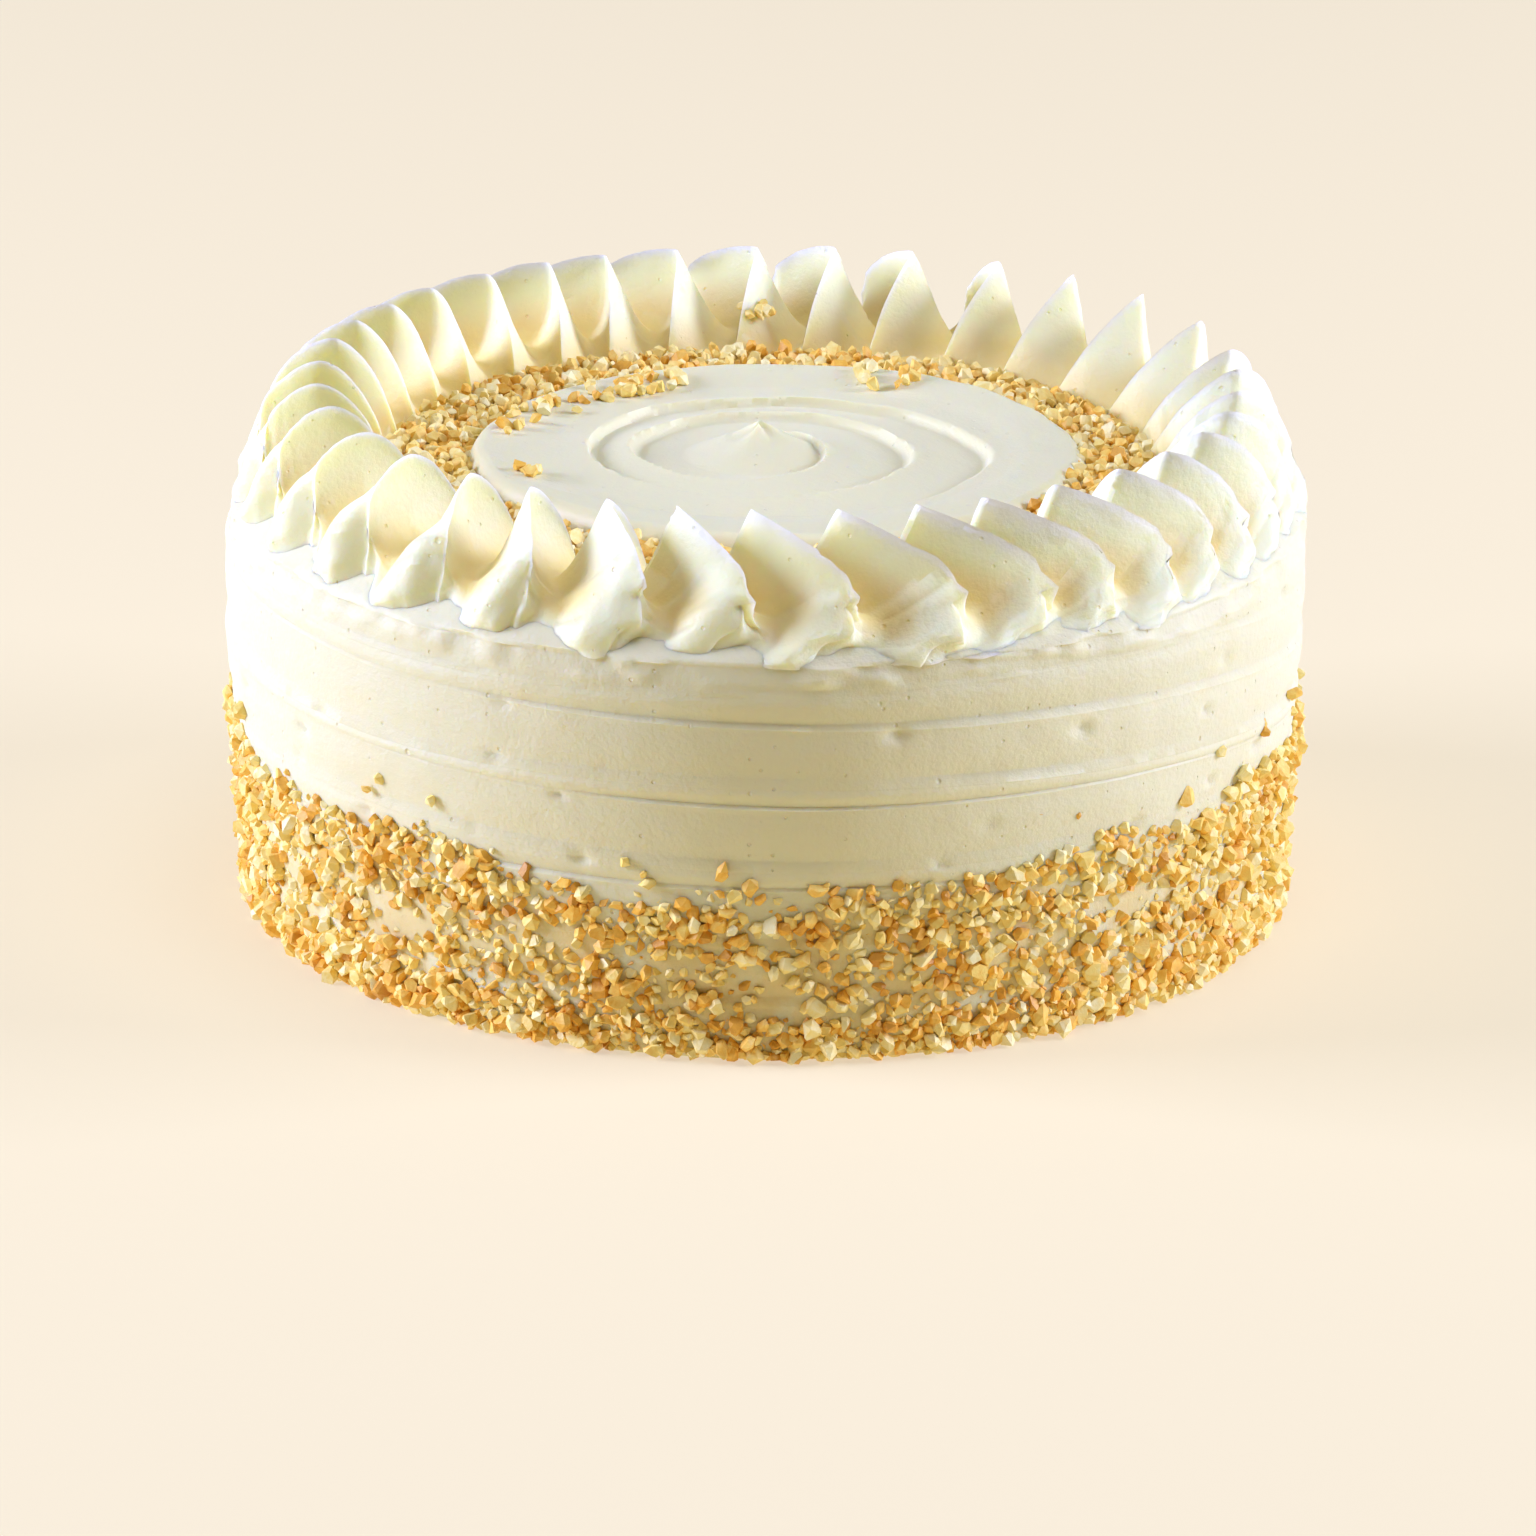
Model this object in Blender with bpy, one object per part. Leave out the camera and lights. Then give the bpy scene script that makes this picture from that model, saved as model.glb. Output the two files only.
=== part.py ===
"""A frosted layer cake, coated in chopped roasted nuts round its foot and on top, with a piped cream border.

Metres, +Z up. The origin is the centre of the base, on the surface that the cake stands on, and the front
is -Y. Two closed solids: frosted_cake is the coated cake with its larger nut pieces, and piped_border is
the ring of ruffles that rests on its top edge.
"""

import math
import random

import bmesh
import bpy
from mathutils import Matrix, Vector

MM = 0.001

# Coated cake, in millimetres
BASE_RADIUS = 107.0
SIDE_RADIUS = 112.2
TAPER_HEIGHT = 57.0
TOP_HEIGHT = 90.0
SHOULDER_RADIUS = 102.0
SHOULDER_EDGE_RADIUS = 110.6
SHOULDER_EDGE_HEIGHT = 84.2
TURN_STEPS = 52

# Overlapping bands left on the side by the spatula
BAND_LIPS = (26.0, 40.5, 57.0, 71.6)
BAND_STEP = 1.1
BAND_STEP_HEIGHT = 0.8

# Cream disc on top, with a spiral ridge and a peak in its middle
DISC_SHIFT = 2.5
DISC_RADIUS = 60.2
DISC_RIM_HEIGHT = 95.6
DISC_LEVEL = 93.6
SPIRAL_PITCH = 17.5
SPIRAL_DEPTH = 0.95
SPIRAL_INNER_RADIUS = 13.0
DISC_RINGS = 12
PEAK_HEIGHT = 99.0
PEAK_SHIFT = -1.5

# Layer of chopped nuts between the disc and the border
NUT_BED_INNER_RADIUS = 63.6
NUT_BED_OUTER_RADIUS = 78.2
NUT_BED_HEIGHT = 91.0

# Piped border: degrees anticlockwise from +X of each ruffle's peak, as uneven as they were piped
RUFFLE_PEAKS = (
    5.0, 13.0, 25.4, 38.2, 49.5, 59.9, 71.6, 81.7, 91.9, 102.6, 112.5, 120.9,
    130.5, 140.5, 149.5, 158.5, 167.0, 177.0, 187.4, 197.3, 209.0, 220.0, 230.5, 239.8,
    250.1, 258.9, 268.1, 278.6, 288.6, 297.5, 308.0, 318.5, 328.0, 337.5, 346.5, 355.5,
)
BORDER_RADIUS = 93.5
BORDER_INNER_HALF = 14.8
BORDER_OUTER_HALF = 16.4
RUFFLE_HEIGHT = 111.2
BORDER_GAP = 0.35
RUFFLE_LIFT = 1.6
RUFFLE_STEPS = 9

# One ruffle from its crest to the next, as shares of the pitch and of the height, on top and at the foot
RUFFLE_LINES = (
    # place, height, width, place at the foot
    (0.00, 1.00, 1.00, 0.00),
    (-0.045, 0.80, 1.00, 0.06),
    (0.04, 0.33, 0.95, 0.16),
    (0.32, 0.08, 0.92, 0.34),
    (0.66, 0.42, 0.96, 0.63),
    (0.86, 0.77, 0.99, 0.84),
)

# How the ruffles change round the cake: values 30 degrees apart, anticlockwise from +X
POINTED = (0.1, 0.75, 0.5, 0.1, 0.05, 0.0, 0.0, 0.0, 0.45, 0.75, 0.75, 0.3)
PEAK_OUTWARD = (4.0, 7.0, 5.0, 1.0, 0.0, 0.0, 0.0, 0.0, 0.0, 0.0, 0.0, 2.0)
SWEEP = (5.0, 5.5, 7.0, 8.2, 7.5, 5.0, 2.5, -0.5, 3.9, 11.3, 12.2, 6.3)
PINCH = (0.0, 0.0, 0.0, 0.0, 0.5, 1.0, 3.0, 5.0, 2.5, 0.5, 0.0, 0.0)
FOOT_LUMP = (0.3, 0.3, 0.3, 0.3, 0.3, 0.4, 0.7, 1.0, 1.0, 0.4, 0.3, 0.3)
INNER_POINTED = 0.55
INNER_POINTED_EVEN = 0.2
ROUND_POWER = 0.62
POINTED_POWER = 0.86
SWEEP_FULL_AT = 0.64
SWEEP_LOSS_FROM = 0.84
SWEEP_FOOT_LOSS = 0.28
SWEEP_INNER_SHARE = 0.45
PINCH_REACH = 0.16
LUMP_OUTWARD = 1.7
LUMP_LIFT = 4.5

# Larger nut pieces
SEED = 11
SIDE_CHIPS = 134
TOP_CHIPS = 46
CHIP_SIZE = (4.4, 6.0)
CHIP_SHAPE = (1.0, 0.85, 0.7)
CHIP_ROUGHNESS = (0.7, 1.0)
CHIP_BASE_HEIGHT = 3.6
CHIP_BAND_HEIGHT = 37.0
CHIP_BAND_WAVE = 3.0
GOLDEN_ANGLE = math.radians(137.50776)

CREAM = (0.93, 0.89, 0.79)
BORDER_CREAM = (0.95, 0.91, 0.80)


def clear_scene():
    for leftover in list(bpy.data.objects):
        bpy.data.objects.remove(leftover, do_unlink=True)


def cream_material(name, colour):
    material = bpy.data.materials.new(name)
    material.use_nodes = True
    shader = material.node_tree.nodes["Principled BSDF"]
    shader.inputs["Base Color"].default_value = (*colour, 1.0)
    shader.inputs["Roughness"].default_value = 0.5
    shader.inputs["Metallic"].default_value = 0.0
    return material


def finish_object(name, mesh_data, material):
    mesh = bpy.data.meshes.new(name)
    mesh_data.to_mesh(mesh)
    mesh_data.free()
    obj = bpy.data.objects.new(name, mesh)
    obj.data.materials.append(material)
    bpy.context.scene.collection.objects.link(obj)
    return obj


def side_radius(height):
    """Radius of the coated side at its widest, which leans in a little towards the base."""
    rise = min(height / TAPER_HEIGHT, 1.0)
    return BASE_RADIUS + (SIDE_RADIUS - BASE_RADIUS) * rise


def side_profile():
    """(radius, height) up the side: each band swells to a lip, and the next one starts a step further in."""
    points = [(BASE_RADIUS - 0.4, 0.0)]
    for lower, upper in zip((0.0,) + BAND_LIPS, BAND_LIPS + (SHOULDER_EDGE_HEIGHT,)):
        start = lower + BAND_STEP_HEIGHT
        middle = (start + upper) / 2
        points.append((side_radius(start) - BAND_STEP, start))
        points.append((side_radius(middle) - BAND_STEP * 0.3, middle))
        if upper in BAND_LIPS:
            points.append((side_radius(upper), upper))
    points.append((SHOULDER_EDGE_RADIUS, SHOULDER_EDGE_HEIGHT))
    return points


def top_profile():
    """(radius, height) from the shoulder to the middle, with the disc still flat."""
    points = [
        (SHOULDER_RADIUS, TOP_HEIGHT),
        (NUT_BED_OUTER_RADIUS, TOP_HEIGHT),
        ((NUT_BED_OUTER_RADIUS + NUT_BED_INNER_RADIUS) / 2, NUT_BED_HEIGHT),
        (NUT_BED_INNER_RADIUS, NUT_BED_HEIGHT),
        (DISC_RADIUS + 2.2, DISC_RIM_HEIGHT - 2.2),
        (DISC_RADIUS + 1.2, DISC_RIM_HEIGHT - 0.7),
        (DISC_RADIUS, DISC_RIM_HEIGHT),
    ]
    ring_step = (DISC_RADIUS - SPIRAL_INNER_RADIUS) / DISC_RINGS
    points += [(DISC_RADIUS - ring_step * ring, DISC_LEVEL) for ring in range(1, DISC_RINGS + 1)]
    points += [(9.0, 94.9), (6.0, 96.0), (3.0, 97.4), (0.0, PEAK_HEIGHT)]
    return points


def disc_height(radius, angle):
    """Height of the spiral ridge on the disc, which runs outwards clockwise and fades towards rim and middle."""
    phase = (radius - SPIRAL_INNER_RADIUS) / SPIRAL_PITCH + angle / (2 * math.pi)
    outer_fade = min((DISC_RADIUS - radius) / SPIRAL_PITCH, 1.0)
    inner_fade = min(max((radius - SPIRAL_INNER_RADIUS) / SPIRAL_PITCH, 0.0), 1.0)
    ridge = math.cos(2 * math.pi * phase)
    return DISC_LEVEL + SPIRAL_DEPTH * ridge * outer_fade * (0.4 + 0.6 * inner_fade)


def shape_disc(mesh_data):
    """Raises the spiral on the turned disc and moves the disc and its peak off the cake's axis."""
    for vertex in mesh_data.verts:
        x, y, z = (value / MM for value in vertex.co)
        radius = math.hypot(x, y)
        if z < TOP_HEIGHT - 1.0 or radius > NUT_BED_OUTER_RADIUS - 1.0:
            continue
        if SPIRAL_INNER_RADIUS - 0.1 < radius < DISC_RADIUS - 0.1:
            vertex.co.z = disc_height(radius, math.atan2(y, x)) * MM
        near_peak = max(1.0 - radius / SPIRAL_INNER_RADIUS, 0.0)
        vertex.co.x += (DISC_SHIFT + (PEAK_SHIFT - DISC_SHIFT) * near_peak) * MM


def make_cake(material):
    mesh_data = bmesh.new()
    outline = [(0.0, 0.0)] + side_profile() + top_profile()
    verts = [mesh_data.verts.new((radius * MM, 0.0, height * MM)) for radius, height in outline]
    edges = [mesh_data.edges.new(pair) for pair in zip(verts, verts[1:])]
    bmesh.ops.spin(
        mesh_data,
        geom=verts + edges,
        axis=(0, 0, 1),
        cent=(0, 0, 0),
        angle=2 * math.pi,
        steps=TURN_STEPS,
        use_merge=True,
    )
    bmesh.ops.remove_doubles(mesh_data, verts=mesh_data.verts, dist=0.00001)
    shape_disc(mesh_data)
    bmesh.ops.triangulate(mesh_data, faces=mesh_data.faces)
    bmesh.ops.recalc_face_normals(mesh_data, faces=mesh_data.faces)
    return finish_object("frosted_cake", mesh_data, material)


def make_chip(draw, name, centre, material):
    """One chopped piece: an uneven block with flat cut faces, turned at random."""
    mesh_data = bmesh.new()
    bmesh.ops.create_cube(mesh_data, size=draw.uniform(*CHIP_SIZE) * MM)
    for vertex in mesh_data.verts:
        vertex.co *= draw.uniform(*CHIP_ROUGHNESS)
    bmesh.ops.scale(mesh_data, verts=mesh_data.verts, vec=CHIP_SHAPE)
    turn = Vector([draw.uniform(-1, 1) for _ in range(3)]).normalized()
    spin = Matrix.Rotation(draw.uniform(0, 2 * math.pi), 4, turn)
    bmesh.ops.transform(mesh_data, verts=mesh_data.verts, matrix=Matrix.Translation(centre * MM) @ spin)
    return finish_object(name, mesh_data, material)


def side_chip_centres(draw):
    """Even cover of the lower side, by turns of the golden angle, up to an uneven top edge."""
    for count in range(SIDE_CHIPS):
        angle = count * GOLDEN_ANGLE + draw.uniform(-0.03, 0.03)
        edge = CHIP_BAND_HEIGHT + CHIP_BAND_WAVE * math.cos(angle - math.radians(320))
        edge += 0.5 * CHIP_BAND_WAVE * math.sin(5 * angle)
        height = CHIP_BASE_HEIGHT + (edge - CHIP_BASE_HEIGHT) * (count + 0.5) / SIDE_CHIPS
        radius = side_radius(height) - BAND_STEP * 0.5
        yield Vector((radius * math.cos(angle), radius * math.sin(angle), height))


def top_chip_centres(draw):
    """Even cover of the ring between the disc and the border, clear of the border's foot."""
    inner = NUT_BED_INNER_RADIUS + 1.5
    outer = BORDER_RADIUS - BORDER_INNER_HALF - CHIP_SIZE[1] / 2 - 1.2
    for count in range(TOP_CHIPS):
        angle = count * GOLDEN_ANGLE + draw.uniform(-0.03, 0.03)
        share = (count + 0.5) / TOP_CHIPS
        radius = math.sqrt(inner**2 + (outer**2 - inner**2) * share)
        yield Vector((radius * math.cos(angle), radius * math.sin(angle), NUT_BED_HEIGHT + 0.5))


def keep_largest_body(mesh):
    """Leaves the outer skin only, without loose scraps or sealed hollows."""
    mesh_data = bmesh.new()
    mesh_data.from_mesh(mesh)
    unseen = set(mesh_data.faces)
    bodies = []
    while unseen:
        body = {unseen.pop()}
        front = list(body)
        while front:
            for edge in front.pop().edges:
                found = [face for face in edge.link_faces if face in unseen]
                unseen.difference_update(found)
                body.update(found)
                front.extend(found)
        bodies.append(body)
    bodies.sort(key=len)
    spare = [face for body in bodies[:-1] for face in body]
    bmesh.ops.delete(mesh_data, geom=spare, context="FACES")
    bmesh.ops.triangulate(mesh_data, faces=mesh_data.faces)
    mesh_data.to_mesh(mesh)
    mesh_data.free()


def fuse_chips(cake, material):
    draw = random.Random(SEED)
    chips = bpy.data.collections.new("chopped_nuts")
    bpy.context.scene.collection.children.link(chips)
    centres = list(side_chip_centres(draw)) + list(top_chip_centres(draw))
    for count, centre in enumerate(centres):
        chip = make_chip(draw, f"chip_{count:03d}", centre, material)
        bpy.context.scene.collection.objects.unlink(chip)
        chips.objects.link(chip)
    union = cake.modifiers.new("nuts", "BOOLEAN")
    union.operation = "UNION"
    union.operand_type = "COLLECTION"
    union.solver = "EXACT"
    union.collection = chips
    bpy.context.view_layer.objects.active = cake
    bpy.ops.object.modifier_apply(modifier=union.name)
    for chip in list(chips.objects):
        bpy.data.objects.remove(chip, do_unlink=True)
    bpy.data.collections.remove(chips)
    keep_largest_body(cake.data)


def around(values, angle):
    """Smooth closed curve through values spread evenly round the cake, read at an angle in degrees."""
    place = (angle % 360) / 360 * len(values)
    index = math.floor(place)
    share = place - index
    a, b, c, d = (values[(index + shift) % len(values)] for shift in (-1, 0, 1, 2))
    return b + 0.5 * share * (c - a + share * (2 * a - 5 * b + 4 * c - d + share * (3 * (b - c) + d - a)))


def smoothstep(low, high, value):
    share = min(max((value - low) / (high - low), 0.0), 1.0)
    return share * share * (3 - 2 * share)


def rest_height(radius):
    """Height at which the border's underside lies, a small gap above the shoulder."""
    fall = (SHOULDER_EDGE_HEIGHT - TOP_HEIGHT) / (SHOULDER_EDGE_RADIUS - SHOULDER_RADIUS)
    return TOP_HEIGHT + BORDER_GAP + min(fall * (radius - SHOULDER_RADIUS - BORDER_GAP), 0.0)


def border_point(peak, pitch, line, across):
    """A point of the border, on one line of a ruffle, from its inner foot (0) to its outer foot (1)."""
    place, height, width, foot_place = line
    outside = across > 0.5
    out = math.sin(abs(across - 0.5) * math.pi)
    turn = peak + pitch * place
    pointed = max(around(POINTED, turn), 0.0)
    if not outside:
        pointed = INNER_POINTED * pointed + INNER_POINTED_EVEN
    arch = (1 - out ** (2 - pointed)) ** (ROUND_POWER + (POINTED_POWER - ROUND_POWER) * pointed)
    reach = out * width * (BORDER_OUTER_HALF if outside else -BORDER_INNER_HALF)
    radius = BORDER_RADIUS + reach + around(PEAK_OUTWARD, turn) * arch * height
    angle = peak + pitch * (foot_place + (place - foot_place) * math.sqrt(arch))
    rise = 0.0
    if outside:
        past = max(out - SWEEP_LOSS_FROM, 0.0) / (1 - SWEEP_LOSS_FROM)
        lead = min(out / SWEEP_FULL_AT, 1.0) * (1 - SWEEP_FOOT_LOSS * past)
        crest = math.exp(-((place / PINCH_REACH) ** 2)) + math.exp(-(((1 - place) / PINCH_REACH) ** 2))
        radius -= around(PINCH, turn) * crest * smoothstep(0.6, 1.0, out)
        lump = math.sin(math.pi * min(max((place - 0.3) / 0.68, 0.0), 1.0)) * around(FOOT_LUMP, turn)
        radius += LUMP_OUTWARD * lump * smoothstep(0.5, 0.85, out) * (1 - smoothstep(0.93, 1.0, out))
        rise = LUMP_LIFT * lump * smoothstep(0.4, 0.75, out) * (1 - smoothstep(0.85, 1.0, out))
    else:
        lead = SWEEP_INNER_SHARE * out**1.5
    angle += around(SWEEP, angle) * lead
    rest = rest_height(radius)
    z = rest + RUFFLE_LIFT * (1 - out**2) + height * arch * (RUFFLE_HEIGHT - RUFFLE_LIFT - rest) + rise
    return polar(radius, angle, z)


def polar(radius, angle, height):
    turn = math.radians(angle)
    return Vector((radius * math.cos(turn), radius * math.sin(turn), height)) * MM


def make_border(material):
    """Closed loops of points, one for each line of each ruffle: over the crest and back underneath."""
    loops = []
    for count, peak in enumerate(RUFFLE_PEAKS):
        after = RUFFLE_PEAKS[(count + 1) % len(RUFFLE_PEAKS)]
        pitch = (after - peak) % 360
        for line in RUFFLE_LINES:
            over = [border_point(peak, pitch, line, step / RUFFLE_STEPS) for step in range(RUFFLE_STEPS + 1)]
            inner_turn = math.degrees(math.atan2(over[0].y, over[0].x))
            outer_turn = math.degrees(math.atan2(over[-1].y, over[-1].x))
            under_turn = inner_turn + 0.8 * ((outer_turn - inner_turn + 180) % 360 - 180)
            bend = SHOULDER_RADIUS + BORDER_GAP
            loops.append(over + [polar(bend, under_turn, rest_height(bend))])
    mesh_data = bmesh.new()
    rings = [[mesh_data.verts.new(point) for point in loop] for loop in loops]
    for ring, following in zip(rings, rings[1:] + rings[:1]):
        for step in range(len(ring)):
            nearer = step - 1
            mesh_data.faces.new((ring[nearer], ring[step], following[step], following[nearer]))
    bmesh.ops.triangulate(mesh_data, faces=mesh_data.faces)
    bmesh.ops.recalc_face_normals(mesh_data, faces=mesh_data.faces)
    return finish_object("piped_border", mesh_data, material)


def main():
    clear_scene()
    frosting = cream_material("frosting", CREAM)
    cake = make_cake(frosting)
    fuse_chips(cake, frosting)
    make_border(cream_material("piped_cream", BORDER_CREAM))


main()
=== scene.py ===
# %% [markdown]
# # A frosted layer cake with chopped nuts and a ruffled border
#
# The real thing is a sponge cake under a coat of whipped cream. A turntable and a spatula left
# overlapping bands on its side and a spiral on its top, a petal nozzle piped the ruffles round its edge,
# and chopped roasted nuts were pressed on by hand. The solids from the CAD step give every size here. The
# scene rebuilds their surfaces finely enough for a close photograph: the coat, the disc, the border and
# some thousands of nut pieces.

# %% Load the frame
import math

import bpy
import numpy as np
from mathutils import Matrix, Vector


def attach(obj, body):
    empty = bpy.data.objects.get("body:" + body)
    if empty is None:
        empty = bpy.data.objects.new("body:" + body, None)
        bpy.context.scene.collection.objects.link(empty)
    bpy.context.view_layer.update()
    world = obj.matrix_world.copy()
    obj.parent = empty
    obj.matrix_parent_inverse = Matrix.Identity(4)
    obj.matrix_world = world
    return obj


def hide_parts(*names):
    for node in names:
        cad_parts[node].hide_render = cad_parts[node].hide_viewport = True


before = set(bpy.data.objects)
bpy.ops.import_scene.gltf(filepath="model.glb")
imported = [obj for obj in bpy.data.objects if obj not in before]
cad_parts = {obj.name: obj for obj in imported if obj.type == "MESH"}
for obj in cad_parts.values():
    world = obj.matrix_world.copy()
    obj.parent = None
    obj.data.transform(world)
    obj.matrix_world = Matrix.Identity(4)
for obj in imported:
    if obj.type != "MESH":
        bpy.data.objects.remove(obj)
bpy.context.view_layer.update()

MM = 0.001

# %% [markdown]
# ## Small helpers
# Every piece starts as a primitive with nothing else selected, because an operator acts on all that is
# selected. A turned shape starts as one point that is extruded into an outline and spun. Hand work, such
# as the spatula's marks, is then a rule that moves each point of the mesh a little, like a sculpting
# brush that can be repeated.

# %% Helpers for making and moving shapes


def start_fresh():
    """Back to object mode with nothing selected, as before every new piece."""
    if bpy.context.object and bpy.context.object.mode != "OBJECT":
        bpy.ops.object.mode_set(mode="OBJECT")
    bpy.ops.object.select_all(action="DESELECT")


def cut_round(shape, cuts):
    """Cut every edge that runs round the axis, like a set of loop cuts."""
    points = points_of(shape)
    radius = np.hypot(points[:, 0], points[:, 1])
    ends = np.empty(len(shape.data.edges) * 2, dtype=np.int32)
    shape.data.edges.foreach_get("vertices", ends)
    ends = ends.reshape(-1, 2)
    level = np.abs(points[ends[:, 0], 2] - points[ends[:, 1], 2]) < 0.001
    level &= np.abs(radius[ends[:, 0]] - radius[ends[:, 1]]) < 0.001
    shape.data.vertices.foreach_set("select", np.zeros(len(points), dtype=bool))
    shape.data.polygons.foreach_set("select", np.zeros(len(shape.data.polygons), dtype=bool))
    shape.data.edges.foreach_set("select", level)
    bpy.context.tool_settings.mesh_select_mode = (False, True, False)
    bpy.ops.object.mode_set(mode="EDIT")
    bpy.ops.mesh.subdivide(number_cuts=cuts)
    bpy.ops.object.mode_set(mode="OBJECT")
    bpy.context.tool_settings.mesh_select_mode = (True, False, False)


def spin_round(shape, steps, cuts):
    """Spin the selected outline into a ring of `steps` sectors, each cut `cuts` times, truly round."""
    bpy.ops.mesh.select_all(action="SELECT")
    bpy.ops.mesh.spin(steps=steps, angle=2 * math.pi, center=(0, 0, 0), axis=(0, 0, 1))
    bpy.ops.mesh.select_all(action="SELECT")
    bpy.ops.mesh.remove_doubles(threshold=0.000005)
    bpy.ops.mesh.normals_make_consistent(inside=False)
    bpy.ops.object.mode_set(mode="OBJECT")
    cut_round(shape, cuts)
    points = points_of(shape)
    sector = 2 * np.pi / steps
    off_middle = np.mod(np.arctan2(points[:, 1], points[:, 0]), sector) - sector / 2
    points[:, :2] *= (np.cos(off_middle) / np.cos(sector / 2))[:, None]
    place_points(shape, points)


def turned_shape(name, outline, steps, cuts):
    """A closed shape turned round the cake's axis from an outline of (radius, height) in millimetres."""
    start_fresh()
    first = Vector((outline[0][0], 0, outline[0][1])) * MM
    bpy.ops.mesh.primitive_plane_add(size=0.001, location=(0, 0, 0))
    shape = bpy.context.object
    shape.name = name
    bpy.ops.object.mode_set(mode="EDIT")
    bpy.ops.mesh.select_all(action="SELECT")
    bpy.ops.mesh.merge(type="CENTER")
    bpy.ops.transform.translate(value=first)
    for (radius, height), (next_radius, next_height) in zip(outline, outline[1:]):
        step = Vector((next_radius - radius, 0, next_height - height)) * MM
        bpy.ops.mesh.extrude_region_move(TRANSFORM_OT_translate={"value": step})
    spin_round(shape, steps, cuts)
    return shape


def points_of(shape):
    """The mesh's points in millimetres, as rows of x, y and z."""
    flat = np.empty(len(shape.data.vertices) * 3, dtype=np.float32)
    shape.data.vertices.foreach_get("co", flat)
    return flat.reshape(-1, 3).astype(float) / MM


def place_points(shape, points):
    """Move the mesh's points to these places in millimetres."""
    shape.data.vertices.foreach_set("co", (points * MM).astype(np.float32).ravel())
    shape.data.update()


def ring_points(turn, radius, height):
    """Points round the cake's axis, at these angles in radians, distances from the axis and heights."""
    return np.column_stack((np.cos(turn) * radius, np.sin(turn) * radius, height + 0 * turn))


def corner_values(cells):
    """A fixed random number from -1 to 1 for each whole-numbered cell corner."""
    x, y, z = (cells[:, axis].astype(np.uint64) for axis in range(3))
    mixed = x * np.uint64(73856093) ^ y * np.uint64(19349663) ^ z * np.uint64(83492791)
    for shift, factor in ((15, 2246822519), (13, 3266489917)):
        mixed = (mixed ^ (mixed >> np.uint64(shift))) * np.uint64(factor) & np.uint64(0xFFFFFFFF)
    return (mixed ^ (mixed >> np.uint64(16))).astype(float) / 2147483648.0 - 1.0


def wobble(points, size, octaves=2):
    """Smooth noise from about -1 to 1 whose lumps are about `size` millimetres across."""
    total = np.zeros(len(points))
    for octave in range(octaves):
        places = points / size * 2**octave + 500.0 + 37.0 * octave
        cells = np.floor(places).astype(np.int64)
        share = places - cells
        share = share * share * share * (share * (share * 6 - 15) + 10)
        for corner in np.ndindex(2, 2, 2):
            weight = np.prod(np.where(np.array(corner) == 1, share, 1 - share), axis=1)
            total += weight * corner_values(cells + np.array(corner)) * 0.5**octave
    return total


def smoothstep(low, high, values):
    """0 below low, 1 above high, and an S-shaped change between them."""
    share = np.clip((values - low) / (high - low), 0.0, 1.0)
    return share * share * (3 - 2 * share)


def around(values, degrees):
    """Smooth closed curve through values spread evenly round the cake, anticlockwise from +X."""
    values = np.asarray(values, dtype=float)
    place = np.mod(degrees, 360.0) / 360.0 * len(values)
    index = np.floor(place).astype(int)
    share = place - index
    a, b, c, d = (values[(index + shift) % len(values)] for shift in (-1, 0, 1, 2))
    return b + 0.5 * share * (c - a + share * (2 * a - 5 * b + 4 * c - d + share * (3 * (b - c) + d - a)))


def finish_piece(shape, material, node):
    """Give a piece its material, hang it under the root, and hide the node of the CAD model that it stands
    for.
    """
    shape.data.materials.clear()
    shape.data.materials.append(material)
    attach(shape, "root")
    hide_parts(node)
    count = sum(len(face.vertices) - 2 for face in shape.data.polygons)
    print(f"{shape.name}: {count} triangles")


# %% [markdown]
# ## Whipped cream
# Cream is a white scatterer: light goes in and comes out a few millimetres away, which softens every
# edge. Subsurface scattering does this on its own. Deep folds look yellower, because light bounces to and
# fro in them. Scattering alone shows too little of that, so the coat and the border also store a number
# called crease, which mixes a deeper yellow in. Fine air bubbles make the skin slightly porous, and a few
# larger ones burst into pits. Both are bump, built once as a node group, because the coat, the disc and
# the border share them at different strengths.

# %% Bubble group and cream material
GRAIN_SCALE = 900.0
GRAIN_HEIGHT = 0.4
RIPPLE_SCALE = 160.0
RIPPLE_HEIGHT = 0.5
# Two sizes of pit: cells to a metre, share of the cells without one, and its radius as a share of a cell
PIT_KINDS = ((170.0, 0.9, 0.13), (420.0, 0.86, 0.2))
PIT_FLOOR = 0.4


def new_group(name, inputs, outputs):
    """A node group with number sockets: inputs as (name, default) pairs, outputs as names."""
    group = bpy.data.node_groups.new(name, "ShaderNodeTree")
    for label, default in inputs:
        socket = group.interface.new_socket(label, in_out="INPUT", socket_type="NodeSocketFloat")
        socket.default_value = default
    for label in outputs:
        group.interface.new_socket(label, in_out="OUTPUT", socket_type="NodeSocketFloat")
    return group, group.nodes.new("NodeGroupInput"), group.nodes.new("NodeGroupOutput")


def math_node(tree, operation, first, second, clamp=False):
    """The output of a Math node, whose two inputs are numbers or sockets."""
    node = tree.nodes.new("ShaderNodeMath")
    node.operation = operation
    node.use_clamp = clamp
    for socket, value in zip(node.inputs, (first, second)):
        if isinstance(value, (int, float)):
            socket.default_value = value
        else:
            tree.links.new(value, socket)
    return node.outputs[0]


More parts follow.
